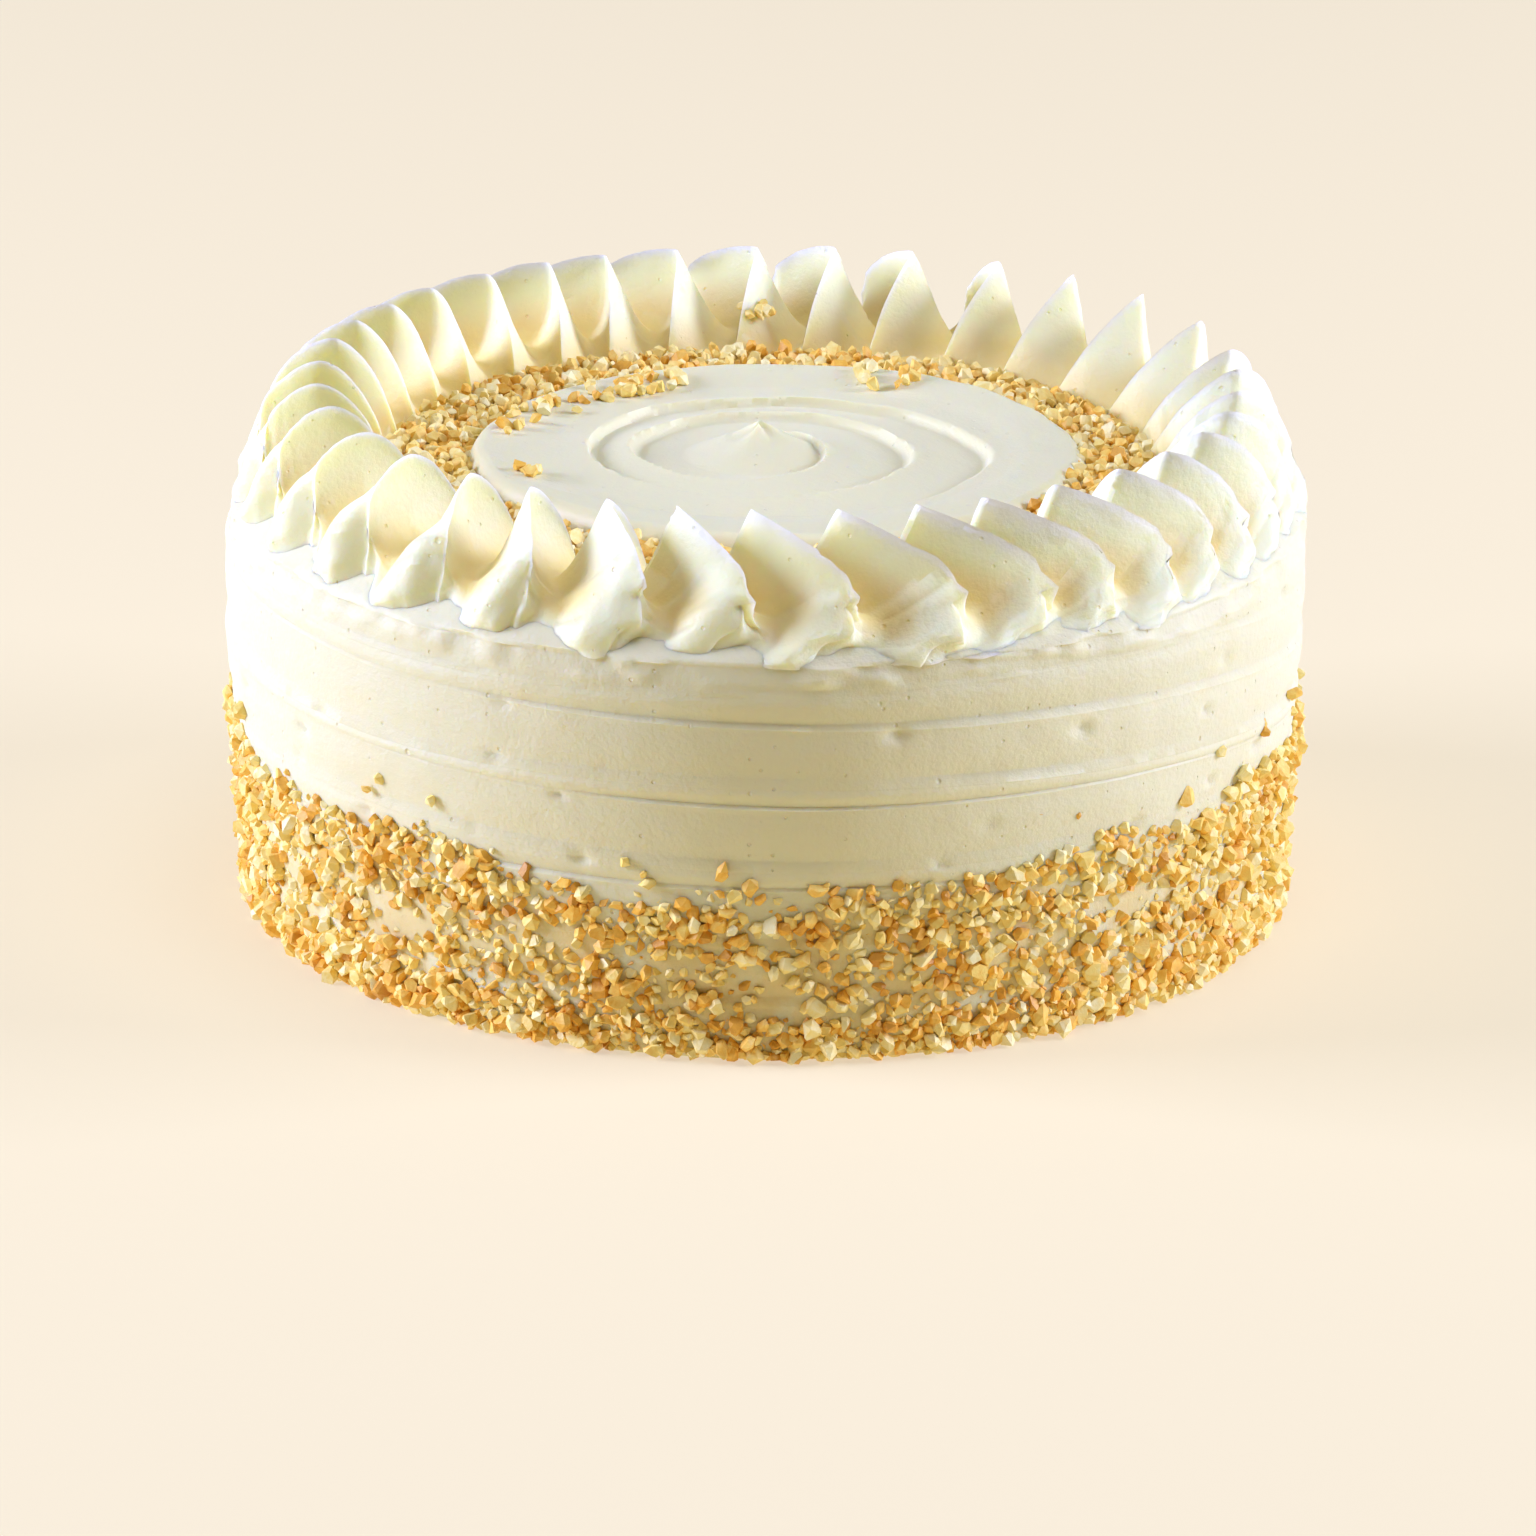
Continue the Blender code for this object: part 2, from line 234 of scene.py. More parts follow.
def range_node(tree, value, low, high, to_low=0.0, to_high=1.0):
    """The output of a Map Range node with a smooth change from to_low to to_high."""
    node = tree.nodes.new("ShaderNodeMapRange")
    node.interpolation_type = "SMOOTHSTEP"
    tree.links.new(value, node.inputs["Value"])
    labels = ("From Min", "From Max", "To Min", "To Max")
    for label, number in zip(labels, (low, high, to_low, to_high)):
        node.inputs[label].default_value = number
    return node.outputs["Result"]


def noise_node(tree, coordinates, scale, detail=3.0, roughness=0.5):
    """The output of a Noise Texture node, about 0 to 1."""
    node = tree.nodes.new("ShaderNodeTexNoise")
    tree.links.new(coordinates, node.inputs["Vector"])
    node.inputs["Scale"].default_value = scale
    node.inputs["Detail"].default_value = detail
    node.inputs["Roughness"].default_value = roughness
    return node.outputs["Fac"]


def make_bubble_group():
    """Height and pit mask of cream's skin: fine grain all over, and pits of two sizes here and there."""
    group, inside, outside = new_group("cream bubbles", [("Pits", 1.0)], ["Height", "Pit"])
    place = group.nodes.new("ShaderNodeTexCoord").outputs["Object"]
    grain = noise_node(group, place, GRAIN_SCALE, detail=4.0, roughness=0.6)
    ripple = noise_node(group, place, RIPPLE_SCALE)
    pits = 0.0
    for cells_per_metre, share, size in PIT_KINDS:
        cells = group.nodes.new("ShaderNodeTexVoronoi")
        cells.inputs["Scale"].default_value = cells_per_metre
        group.links.new(place, cells.inputs["Vector"])
        chosen = group.nodes.new("ShaderNodeSeparateColor")
        group.links.new(cells.outputs["Color"], chosen.inputs["Color"])
        picked = math_node(group, "GREATER_THAN", chosen.outputs["Red"], share)
        hole = range_node(group, cells.outputs["Distance"], size * PIT_FLOOR, size, 1.0, 0.0)
        pit = math_node(group, "MULTIPLY", picked, hole)
        pits = math_node(group, "MAXIMUM", pits, pit)
    pits = math_node(group, "MULTIPLY", pits, inside.outputs["Pits"])
    grain = math_node(group, "MULTIPLY", grain, GRAIN_HEIGHT)
    ripple = math_node(group, "MULTIPLY", ripple, RIPPLE_HEIGHT)
    height = math_node(group, "ADD", grain, ripple)
    height = math_node(group, "SUBTRACT", height, pits)
    group.links.new(height, outside.inputs["Height"])
    group.links.new(pits, outside.inputs["Pit"])
    return group


bubble_group = make_bubble_group()

# %% Cream for the coat, the disc and the border
PATCH_SCALE = 28.0
PATCH_RANGE = (0.35, 0.75)
PATCH_TINT = 0.12
# Painted shade in the pits, as a share of the deep colour
PIT_SHADE = 0.15
SCATTER_COLOURS = (1.0, 0.8, 0.45)
CREAM_SHINE = 0.35


def make_cream(name, colour, deep_colour, pits, bump_mm, roughness, scatter_mm):
    """Cream in a colour that turns to the deep colour in faint patches, and in pits and creases as painted
    shade, with nut oil added among the nuts.
    """
    material = bpy.data.materials.new(name)
    material.use_nodes = True
    tree = material.node_tree
    shader = tree.nodes["Principled BSDF"]
    bubbles = tree.nodes.new("ShaderNodeGroup")
    bubbles.node_tree = bubble_group
    bubbles.inputs["Pits"].default_value = pits
    place = tree.nodes.new("ShaderNodeTexCoord").outputs["Object"]
    patches = range_node(tree, noise_node(tree, place, PATCH_SCALE), *PATCH_RANGE)
    tint = math_node(tree, "MULTIPLY", patches, PATCH_TINT)
    # Painted shade: the pits take some of the deep colour, as if shaded inside
    pit_shade = math_node(tree, "MULTIPLY", bubbles.outputs["Pit"], PIT_SHADE)
    tint = math_node(tree, "ADD", tint, pit_shade)
    crease = tree.nodes.new("ShaderNodeAttribute")
    crease.attribute_name = "crease"
    tint = math_node(tree, "ADD", tint, crease.outputs["Fac"], clamp=True)
    mix = tree.nodes.new("ShaderNodeMix")
    mix.data_type = "RGBA"
    tree.links.new(tint, mix.inputs["Factor"])
    mix.inputs["A"].default_value = (*colour, 1)
    mix.inputs["B"].default_value = (*deep_colour, 1)
    tree.links.new(mix.outputs["Result"], shader.inputs["Base Color"])
    bump = tree.nodes.new("ShaderNodeBump")
    bump.inputs["Strength"].default_value = 1.0
    bump.inputs["Distance"].default_value = bump_mm * MM
    tree.links.new(bubbles.outputs["Height"], bump.inputs["Height"])
    tree.links.new(bump.outputs["Normal"], shader.inputs["Normal"])
    shader.inputs["Roughness"].default_value = roughness
    shader.inputs["Subsurface Weight"].default_value = 1.0
    shader.inputs["Subsurface Radius"].default_value = SCATTER_COLOURS
    shader.inputs["Subsurface Scale"].default_value = scatter_mm * MM
    shader.inputs["Specular IOR Level"].default_value = CREAM_SHINE
    return material


# Painted shade: the coat's cream and the disc's are given darker than the piped cream, though all three are
# one whipped cream, to paint the shade on the cake's side and top, which catch less light than the ruffles
coat_cream = make_cream(
    "coat cream",
    colour=(0.82, 0.772, 0.475),
    deep_colour=(0.80, 0.62, 0.23),
    pits=1.0,
    bump_mm=0.5,
    roughness=0.52,
    scatter_mm=1.7,
)
disc_cream = make_cream(
    "disc cream",
    colour=(0.85, 0.79, 0.455),
    deep_colour=(0.76, 0.69, 0.36),
    pits=0.8,
    bump_mm=0.30,
    roughness=0.42,
    scatter_mm=1.6,
)
piped_cream = make_cream(
    "piped cream",
    colour=(0.98, 0.91, 0.575),
    deep_colour=(0.87, 0.695, 0.22),
    pits=0.8,
    bump_mm=0.45,
    roughness=0.52,
    scatter_mm=2.3,
)

# %% [markdown]
# ## The coat
# The spatula rode up the turning cake in overlapping passes. Each pass ends in a thin lip, and the next
# begins about a millimetre further in, so the side looks like lapped boards whose joints wander up and
# down. Broken bubbles left small dents between them. The mesh is a turned outline. Its rows are then
# moved so that a row lies along every lip: a lip drawn across rows would look like stairs.

# %% Coat outline and bands
BASE_RADIUS = 107.0
SIDE_RADIUS = 112.0
TAPER_HEIGHT = 57.0
TOP_HEIGHT = 90.0
FOOT_ROUNDING = 1.2
EDGE_HEIGHT = 84.2
EDGE_RADIUS = 110.6
SHOULDER_RADIUS = 102.0
BED_HEIGHT = 90.8
# The side's rows start at this radius, before the bands move them
START_RADIUS = 100.0
ROWS_PER_BAND = 15
COAT_SECTORS = 60
COAT_CUTS = 8
LIP_LEDGE = 0.11
LIP_SWELL = 0.10
LIP_ROUNDING = 0.35

# Each lip's heights at the eight points of the compass, anticlockwise from +X, and its step's depths there
LIPS = (
    ((12, 13, 12, 14, 12, 13, 12, 14), (0.8, 0.8, 0.8, 0.8, 0.8, 0.8, 0.8, 0.8)),
    ((26, 27, 26, 28, 27, 26, 25, 26), (0.9, 0.9, 0.9, 0.9, 0.9, 0.9, 0.9, 0.9)),
    ((31, 33, 34, 36, 38, 37, 37.2, 35.5), (0.6, 0.8, 0.9, 0.8, 0.5, 0.7, 1.0, 0.8)),
    ((38.5, 40, 42, 44, 44, 43.5, 41.4, 40.8), (1.0, 1.0, 1.0, 0.8, 0.6, 0.9, 1.0, 0.9)),
    ((45.5, 50, 54, 54, 56, 56, 54.8, 53.0), (0.2, 0.8, 0.9, 0.5, 0.1, 0.2, 0.9, 0.5)),
    ((49, 53, 57, 58, 59.5, 58.4, 59.4, 55.6), (1.2, 1.1, 1.0, 1.0, 0.9, 1.0, 1.0, 1.2)),
    ((60, 64, 68, 70, 74.5, 73, 71.6, 68.3), (1.3, 1.1, 1.0, 0.9, 0.8, 0.7, 1.1, 1.2)),
    ((71, 75, 79, 80, 79.5, 77, 78.5, 79), (1.3, 1.0, 0.8, 0.8, 0.8, 0.7, 0.15, 0.5)),
)
BANDS = len(LIPS) + 1
SIDE_ROWS = ROWS_PER_BAND * BANDS

side_outline = [(START_RADIUS, EDGE_HEIGHT * row / SIDE_ROWS) for row in range(SIDE_ROWS + 1)]
shoulder_outline = [(EDGE_RADIUS, 85.0), (108.5, 86.4), (105.5, 88.4), (SHOULDER_RADIUS, TOP_HEIGHT)]
border_bed = [(92.0, TOP_HEIGHT), (82.0, TOP_HEIGHT)]
nut_bed = [(76.0, BED_HEIGHT), (58.0, BED_HEIGHT), (0.0, BED_HEIGHT)]
coat_outline = [(0.0, 0.0)] + side_outline + shoulder_outline + border_bed + nut_bed
coat = turned_shape("frosted_coat", coat_outline, COAT_SECTORS, COAT_CUTS)
print("coat rows on the side:", SIDE_ROWS)

# %% Spatula bands on the coat
DENT_COUNT = 60
# Limits of a dent's angle, height, size and depth
DENT_LIMITS = ((0, 360), (40, 81), (1.1, 2.2), (0.5, 1.2))
EDGE_TURN_FROM = 76.0
FOOT_ROUNDING_TOP = 2.0

# How much a step's depth varies along its lip: mean, swing, limits and the length of the swings
STEP_MEAN = 0.85
STEP_SWING = 0.6
STEP_LIMITS = (0.25, 1.35)
STEP_WAVE = 38.0
BAND_APART = 60.0

# Curve of a band between two lips: powers, shares of its height, and its swell in millimetres
RISE_POWER = 0.8
RECESS_POWER = 1.4
RECESS_FULL_AT = 0.16
BAND_SWELL = 0.35
LIP_FROM = 0.8

# Cream smeared up under the border, and the coat's unevenness: depths and sizes of the lumps
SMEAR_HEIGHTS = (78.0, 82.0)
SMEAR_DEPTH = 1.1
SMEAR_SIZE = 8.0
BROAD_DEPTH = 0.45
BROAD_SIZE = 55.0
DRAG_DEPTH = 0.10
DRAG_SIZE = 5.0
DRAG_LENGTH = 4
DRAG_SQUEEZE = 2.2
FINE_DEPTH = 0.10
FINE_SIZE = 9.0

dent_draw = np.random.default_rng(11)
DENTS = [dent_draw.uniform(*limits, DENT_COUNT) for limits in DENT_LIMITS]


def side_radius(height):
    """Radius of the coat at its lips, which leans in a little towards the base."""
    rise = np.minimum(height / TAPER_HEIGHT, 1.0)
    over = smoothstep(EDGE_TURN_FROM, EDGE_HEIGHT, height)
    return BASE_RADIUS + (SIDE_RADIUS - BASE_RADIUS) * rise - (SIDE_RADIUS - EDGE_RADIUS) * over


def dent_depth(turn, height):
    """Small dents where bubbles broke or the spatula skipped."""
    depth = np.zeros_like(turn)
    for place, level, size, deep in zip(*DENTS):
        across = (np.mod(turn - place + 180, 360) - 180) * np.pi / 180 * SIDE_RADIUS
        depth += deep * np.exp(-((across / size) ** 2) - ((height - level) / (0.7 * size)) ** 2)
    return depth


def shape_coat(points):
    """Where the coat's points lie once its bands, dents, smears and unevenness are made."""
    turn = np.degrees(np.arctan2(points[:, 1], points[:, 0]))
    on_side = np.abs(np.hypot(points[:, 0], points[:, 1]) - START_RADIUS) < 0.5
    row = points[:, 2] / EDGE_HEIGHT * SIDE_ROWS
    band = np.clip(np.floor(row / ROWS_PER_BAND + 0.001).astype(int), 0, BANDS - 1)
    share = np.clip(row / ROWS_PER_BAND - band, 0.0, 1.0)
    lip_heights = [around(lip, turn) for lip, _ in LIPS]
    heights = np.array([np.zeros_like(turn), *lip_heights, np.full_like(turn, EDGE_HEIGHT)])
    lip_steps = [np.maximum(around(depth, turn), 0.0) for _, depth in LIPS]
    steps = np.array([np.zeros_like(turn), *lip_steps])
    column = np.arange(len(turn))
    low, high = heights[band, column], heights[band + 1, column]
    along = np.column_stack((points[:, :2], BAND_APART * band))
    depth = steps[band, column] * np.clip(STEP_MEAN + STEP_SWING * wobble(along, STEP_WAVE), *STEP_LIMITS)
    above_lip = share > 0.001
    eased = LIP_LEDGE + (1 - LIP_LEDGE) * smoothstep(0.0, 1.0, share) ** RISE_POWER
    eased = np.where(above_lip, eased, 0.0)
    height = low + (high - low) * eased
    rounded = LIP_ROUNDING + (1 - LIP_ROUNDING) * smoothstep(0.0, RECESS_FULL_AT, eased)
    recess = np.where(above_lip, depth * rounded * (1 - eased) ** RECESS_POWER, 0.0)
    swell = BAND_SWELL * np.sin(np.pi * eased)
    lip = LIP_SWELL * smoothstep(LIP_FROM, 1.0, share)
    lip += np.where(above_lip | (band == 0), 0.0, LIP_SWELL)
    radius = side_radius(height) - recess + swell + lip
    radius -= FOOT_ROUNDING * (1 - smoothstep(0.0, FOOT_ROUNDING_TOP, height))
    drag = np.column_stack((points[:, :2] / DRAG_LENGTH, height * DRAG_SQUEEZE))
    smear = smoothstep(*SMEAR_HEIGHTS, height) * np.maximum(wobble(points + 30.0, SMEAR_SIZE) + 0.1, 0.0)
    radius += SMEAR_DEPTH * smear - dent_depth(turn, height)
    broad = BROAD_DEPTH * wobble(points, BROAD_SIZE)
    radius += broad + DRAG_DEPTH * wobble(drag, DRAG_SIZE) + FINE_DEPTH * wobble(points, FINE_SIZE)
    return np.where(on_side[:, None], ring_points(np.radians(turn), radius, height), points)


coat_points = shape_coat(points_of(coat))
place_points(coat, coat_points)
bpy.ops.object.shade_smooth_by_angle(angle=math.radians(60))
finish_piece(coat, coat_cream, "frosted_cake")

# %% [markdown]
# ## Golden cream among the nuts
# Roasted nuts leave oil and dust on the cream that they are pressed into, and the gaps between them lie in
# shade that takes light bounced off the nuts, so it looks golden between them: the golden colour is partly
# that oil and partly painted shade. A picture could be painted for that, but a number at each point of the
# mesh is enough, because the change is soft. It is the crease that the cream's material reads: it rises
# below the uneven edge of the nuts, apart from a few white patches, and is full under the ring of nuts on
# top.

# %% Golden cream among the nuts
# Heights of the nuts' upper edge at the eight points of the compass, anticlockwise from +X
NUT_EDGE_HEIGHTS = (40, 40, 39, 38, 40, 40, 35.5, 42)
NUT_EDGE_SWING = 3.0
NUT_EDGE_WAVE = 22.0
NUT_RADIUS = 109.0
NUT_RING = (60.0, 81.0)
NUT_RING_ABOVE = 80.0
OIL_AND_SHADE_TINT = 0.65
OIL_AND_SHADE_FADE = 6.0
WHITE_PATCH_LOSS = 0.9
WHITE_PATCH_RANGE = (0.2, 0.5)
WHITE_PATCH_SIZE = 12.0


def nut_edge(degrees):
    """Height at which the nuts on the side end, at each angle."""
    swing = wobble(ring_points(np.radians(degrees), NUT_RADIUS, 0.0), NUT_EDGE_WAVE)
    return around(NUT_EDGE_HEIGHTS, degrees) + NUT_EDGE_SWING * swing


coat_turn = np.degrees(np.arctan2(coat_points[:, 1], coat_points[:, 0]))
coat_reach = np.hypot(coat_points[:, 0], coat_points[:, 1])
below_edge = nut_edge(coat_turn) - coat_points[:, 2]
white_patch = smoothstep(*WHITE_PATCH_RANGE, wobble(coat_points + 15.0, WHITE_PATCH_SIZE))
# Painted shade and nut oil: the cream below the nuts' edge and under the top ring takes the golden deep
# colour
oil_and_shade = smoothstep(0.0, OIL_AND_SHADE_FADE, below_edge) * (1 - WHITE_PATCH_LOSS * white_patch)
in_ring = (coat_reach > NUT_RING[0]) & (coat_reach < NUT_RING[1])
oil_and_shade = np.maximum(oil_and_shade, (coat_points[:, 2] > NUT_RING_ABOVE) & in_ring)
golden = coat.data.attributes.new("crease", "FLOAT", "POINT")
golden.data.foreach_set("value", (OIL_AND_SHADE_TINT * oil_and_shade).astype(np.float32))
print("share of the coat's points with golden cream:", round(float((oil_and_shade > 0.5).mean()), 2))

# %% [markdown]
# ## The disc on top
# A disc of cream lies inside the ring of nuts. The spatula was drawn outwards over the turning cake,
# which left a spiral of low steps, and was lifted off in the middle, which pulled up a soft peak. The
# spiral's crest is given as a radius for each quarter turn; a point's height depends on how far it lies
# between two windings.

# %% Disc with its spiral and peak
DISC_RADIUS = 60.4
DISC_CENTRE = Vector((2.2, 0.0, 0.0))
PEAK_PLACE = Vector((-1.8, 0.5, 0.0))
DISC_FOOT = 89.8
DISC_LEVEL = 93.6
RIM_HEIGHT = 95.5
DISC_SECTORS = 60
DISC_CUTS = 6
RING_STEP = 0.62

# Radius of the crest about the peak at each quarter turn, clockwise from +X, and how high it stands there
SPIRAL_RADII = (
    1.0, 2.5, 6.0, 9.0, 12.5, 21.0, 27.0, 25.5, 31.6, 33.5, 36.0, 36.0, 48.0, 46.0, 57.0, 66.0, 80.0,
)
SPIRAL_CRESTS = (
    0.0, 0.0, 0.1, 0.4, 0.9, 1.0, 1.0, 0.9, 1.0, 1.0, 1.0, 0.8, 0.9, 0.6, 0.2, 0.0, 0.0,
)
SPIRAL_START = 4.0
SPIRAL_RISE = 2.2
SPIRAL_FADE = (50.0, 58.0)
SPIRAL_SWING = 0.9
SPIRAL_WAVE = 16.0
VALLEY_AT = 0.91
FALL_POWER = 1.35
CLIMB_POWER = 1.4

# Heights over the disc's level: the rim, the shallow dip inside it, and the peak, a cone with folds
RIM_RADII = (46.0, 58.0)
DIP_DEPTH = 0.8
DIP_INNER_RADII = (6.0, 30.0)
DIP_OUTER_RADII = (34.0, 56.0)
PEAK_RISE = 7.0
PEAK_REACH = 16.0
PEAK_POWER = 1.25
PEAK_SQUEEZE = 1.15
PEAK_FOLD_DEPTH = 0.12
PEAK_FOLDS = 3
PEAK_FOLD_TURN = 0.8

# The uneven edge, as a share of the radius, and the uneven surface
EDGE_SWING = 0.02
EDGE_WAVE = 22.0
EDGE_RADII = (40.0, 60.0)
DISC_BROAD_DEPTH = 0.35
DISC_BROAD_SIZE = 30.0
DISC_FINE_DEPTH = 0.06
DISC_FINE_SIZE = 6.0

ring_count = int(DISC_RADIUS / RING_STEP)
disc_outline = [(RING_STEP * ring, DISC_LEVEL) for ring in range(ring_count + 1)]
for outward, height in ((0.9, 94.8), (1.6, 94.0), (2.2, 92.8), (2.6, 91.4), (2.6, DISC_FOOT)):
    disc_outline.append((DISC_RADIUS + outward, height))
disc_outline.append((0.0, DISC_FOOT))
disc = turned_shape("cream_disc", disc_outline, DISC_SECTORS, DISC_CUTS)


def spiral_height(radius, turn):
    """Share of the rise: falls gently outwards from each crest, then climbs steeply to the next."""
    clockwise = np.mod(-turn, 360.0) / 90.0
    quarters = np.arange(len(SPIRAL_RADII)) - SPIRAL_START
    places = [clockwise + 4 * winding for winding in range(-2, 4)]
    crests = [np.interp(place, quarters, SPIRAL_RADII, left=0.0, right=90.0) for place in places]
    tops = [np.interp(place, quarters, SPIRAL_CRESTS, left=0.0, right=0.0) for place in places]
    height = np.zeros_like(radius)
    for inner, outer, inner_top, outer_top in zip(crests, crests[1:], tops, tops[1:]):
        share = (radius - inner) / np.maximum(outer - inner, 0.5)
        here = (share >= 0) & (share < 1)
        fall = inner_top * np.maximum(1 - share / VALLEY_AT, 0.0) ** FALL_POWER
        climb = outer_top * np.clip((share - VALLEY_AT) / (1 - VALLEY_AT), 0.0, 1.0) ** CLIMB_POWER
        height = np.where(here, fall + climb, height)
    return height


def shape_disc(points):
    """Where the disc's points lie once its spiral, rim, peak and uneven edge are made."""
    radius = np.hypot(points[:, 0], points[:, 1])
    turn = np.degrees(np.arctan2(points[:, 1], points[:, 0]))
    upper = points[:, 2] > DISC_FOOT + 0.5
    face = upper & (radius < DISC_RADIUS + 0.1)
    moved = points.copy()
    from_peak_x = points[:, 0] + DISC_CENTRE.x - PEAK_PLACE.x
    from_peak_y = points[:, 1] + DISC_CENTRE.y - PEAK_PLACE.y
    peak_turn = np.degrees(np.arctan2(from_peak_y, from_peak_x))
    peak_distance = np.hypot(from_peak_x, from_peak_y) + SPIRAL_SWING * wobble(points, SPIRAL_WAVE)
    lift = SPIRAL_RISE * spiral_height(peak_distance, peak_turn)
    lift = lift * (1 - smoothstep(*SPIRAL_FADE, radius))
    rim = (RIM_HEIGHT - DISC_LEVEL) * smoothstep(*RIM_RADII, radius)
    dip = -DIP_DEPTH * smoothstep(*DIP_INNER_RADII, radius) * (1 - smoothstep(*DIP_OUTER_RADII, radius))
    moved[face, 2] += (lift + rim + dip)[face]
    uneven = DISC_BROAD_DEPTH * wobble(points, DISC_BROAD_SIZE)
    uneven += DISC_FINE_DEPTH * wobble(points, DISC_FINE_SIZE)
    moved[upper, 2] += uneven[upper]
    ragged = 1 + EDGE_SWING * wobble(ring_points(np.radians(turn), 60, 0), EDGE_WAVE, octaves=3)
    widen = 1 + (ragged - 1) * smoothstep(*EDGE_RADII, radius)
    moved[:, :2] *= widen[:, None]
    moved[:, 0] += DISC_CENTRE.x
    out_x = moved[:, 0] - PEAK_PLACE.x
    out_y = moved[:, 1] - PEAK_PLACE.y
    apart = np.hypot(out_x, out_y * PEAK_SQUEEZE)
    cone = PEAK_RISE * np.maximum(1 - apart / PEAK_REACH, 0.0) ** PEAK_POWER
    cone *= 1 + PEAK_FOLD_DEPTH * np.sin(PEAK_FOLDS * np.arctan2(out_y, out_x) + PEAK_FOLD_TURN)
    moved[:, 2] += np.where(upper, cone, 0.0)
    return moved


place_points(disc, shape_disc(points_of(disc)))
bpy.ops.object.shade_smooth_by_angle(angle=math.radians(60))
finish_piece(disc, disc_cream, "frosted_cake")
print("peak stands at", round(float(points_of(disc)[:, 2].max()), 1), "mm")

# %% [markdown]
# ## The piped border
# A petal nozzle laid the cream in a tight coil. From above, each ruffle is a thin shell, cupped
# anticlockwise, whose outer end runs ahead over the next one and tears into a ragged tip. It could be
# sculpted, but thirty-six ruffles that all differ are less work by rule. The start is a circle spun round
# the cake and cut, a ring closed both ways: its sections become the lines of the ruffles, thirty-six
# times from one crest to the next, and the points of each section run from the inner foot over the crest
# to the outer foot and back underneath.

# %% Border sizes
RUFFLE_PEAKS = (
    5.0, 13.0, 25.4, 38.2, 49.5, 59.9, 71.6, 81.7, 91.9, 102.6, 112.5, 120.9,
    130.5, 140.5, 149.5, 158.5, 167.0, 177.0, 187.4, 197.3, 209.0, 220.0, 230.5, 239.8,
    250.1, 258.9, 268.1, 278.6, 288.6, 297.5, 308.0, 318.5, 328.0, 337.5, 346.5, 355.5,
)
BORDER_RADIUS = 93.5
BORDER_INNER_HALF = 14.8
BORDER_OUTER_HALF = 16.4
RUFFLE_HEIGHT = 111.2
RUFFLE_LIFT = 1.6
BORDER_GAP = 0.35
LINES_PER_RUFFLE = 36
OVER_POINTS = 66
UNDER_RADII = (SHOULDER_RADIUS + BORDER_GAP, 96.0, 90.0, 84.0)
EVEN_SHARE = 0.55

# One ruffle from its crest to the next: place, height and width as shares, and place at the foot
RUFFLE_LINES = np.array(
    (
        (0.00, 1.00, 1.00, 0.00),
        (-0.045, 0.80, 1.00, 0.06),
        (-0.03, 0.50, 0.98, 0.11),
        (0.08, 0.20, 0.93, 0.18),
        (0.27, 0.06, 0.91, 0.29),
        (0.47, 0.17, 0.93, 0.45),
        (0.66, 0.42, 0.96, 0.63),
        (0.84, 0.73, 0.99, 0.82),
        (0.94, 0.91, 1.00, 0.94),
        (1.00, 1.00, 1.00, 1.00),
    )
)
# How the ruffles change round the cake: values 30 degrees apart, anticlockwise from +X
POINTED = (0.4, 0.75, 0.5, 0.1, 0.05, 0.0, 0.0, 0.0, 0.45, 0.75, 0.8, 0.6)
PEAK_OUTWARD = (4.0, 7.0, 5.0, 1.0, 0.0, 0.0, 0.0, 0.0, 0.0, 0.0, 0.0, 2.0)
SWEEP = (5.0, 5.5, 7.0, 8.2, 7.5, 5.0, 2.5, -0.5, 3.9, 11.3, 12.2, 6.3)
PINCH = (0.0, 0.0, 0.0, 0.0, 0.5, 1.0, 3.0, 5.0, 2.5, 0.5, 0.0, 0.0)
FOOT_LUMP = (0.1, 0.3, 0.3, 0.3, 0.3, 0.4, 0.7, 1.0, 1.0, 0.4, 0.2, 0.1)
RAGGED = (0.4, 0.5, 0.6, 0.35, 0.2, 0.3, 0.5, 0.15, 0.3, 1.0, 1.0, 0.7)
INNER_POINTED = 0.55
INNER_POINTED_EVEN = 0.2
ROUND_POWER = 0.62
POINTED_POWER = 0.86
SWEEP_FULL_AT = 0.64
SWEEP_LOSS_FROM = 0.84
SWEEP_FOOT_LOSS = 0.28
SWEEP_INNER_SHARE = 0.45
PINCH_REACH = 0.16
LUMP_OUTWARD = 1.7
LUMP_LIFT = 4.5
TEAR_DEPTH = 2.4
TEAR_REACH = 0.13
TEAR_UNDER_REACH = 0.3
BORDER_SINK = 0.9

# The knobbly foot: where it lies along a ruffle, its size, and where it rises and falls on the way out
LUMP_START = 0.3
LUMP_LENGTH = 0.68
LUMP_SIZES = (0.6, 1.4)
LUMP_OUT_RISE = (0.5, 0.85)
LUMP_OUT_FALL = (0.93, 1.0)
LUMP_UP_RISE = (0.4, 0.75)
LUMP_UP_FALL = (0.85, 1.0)

# The skirt of cream at the outer foot, and the rough skin: depths and sizes of the lumps
SKIRT_REACH = 2.3
SKIRT_RADII = (103.5, 108.5)
SKIRT_LEVELS = (90.0, 95.0)
SKIRT_WAVE = 12.0
SKIRT_EVEN = 0.15
SKIRT_DROP = 0.5
ROUGH_DEPTH = 0.30
ROUGH_SIZE = 11.0
SKIN_DEPTH = 0.13
SKIN_SIZE = 2.6
ROUGH_RISE = 0.4

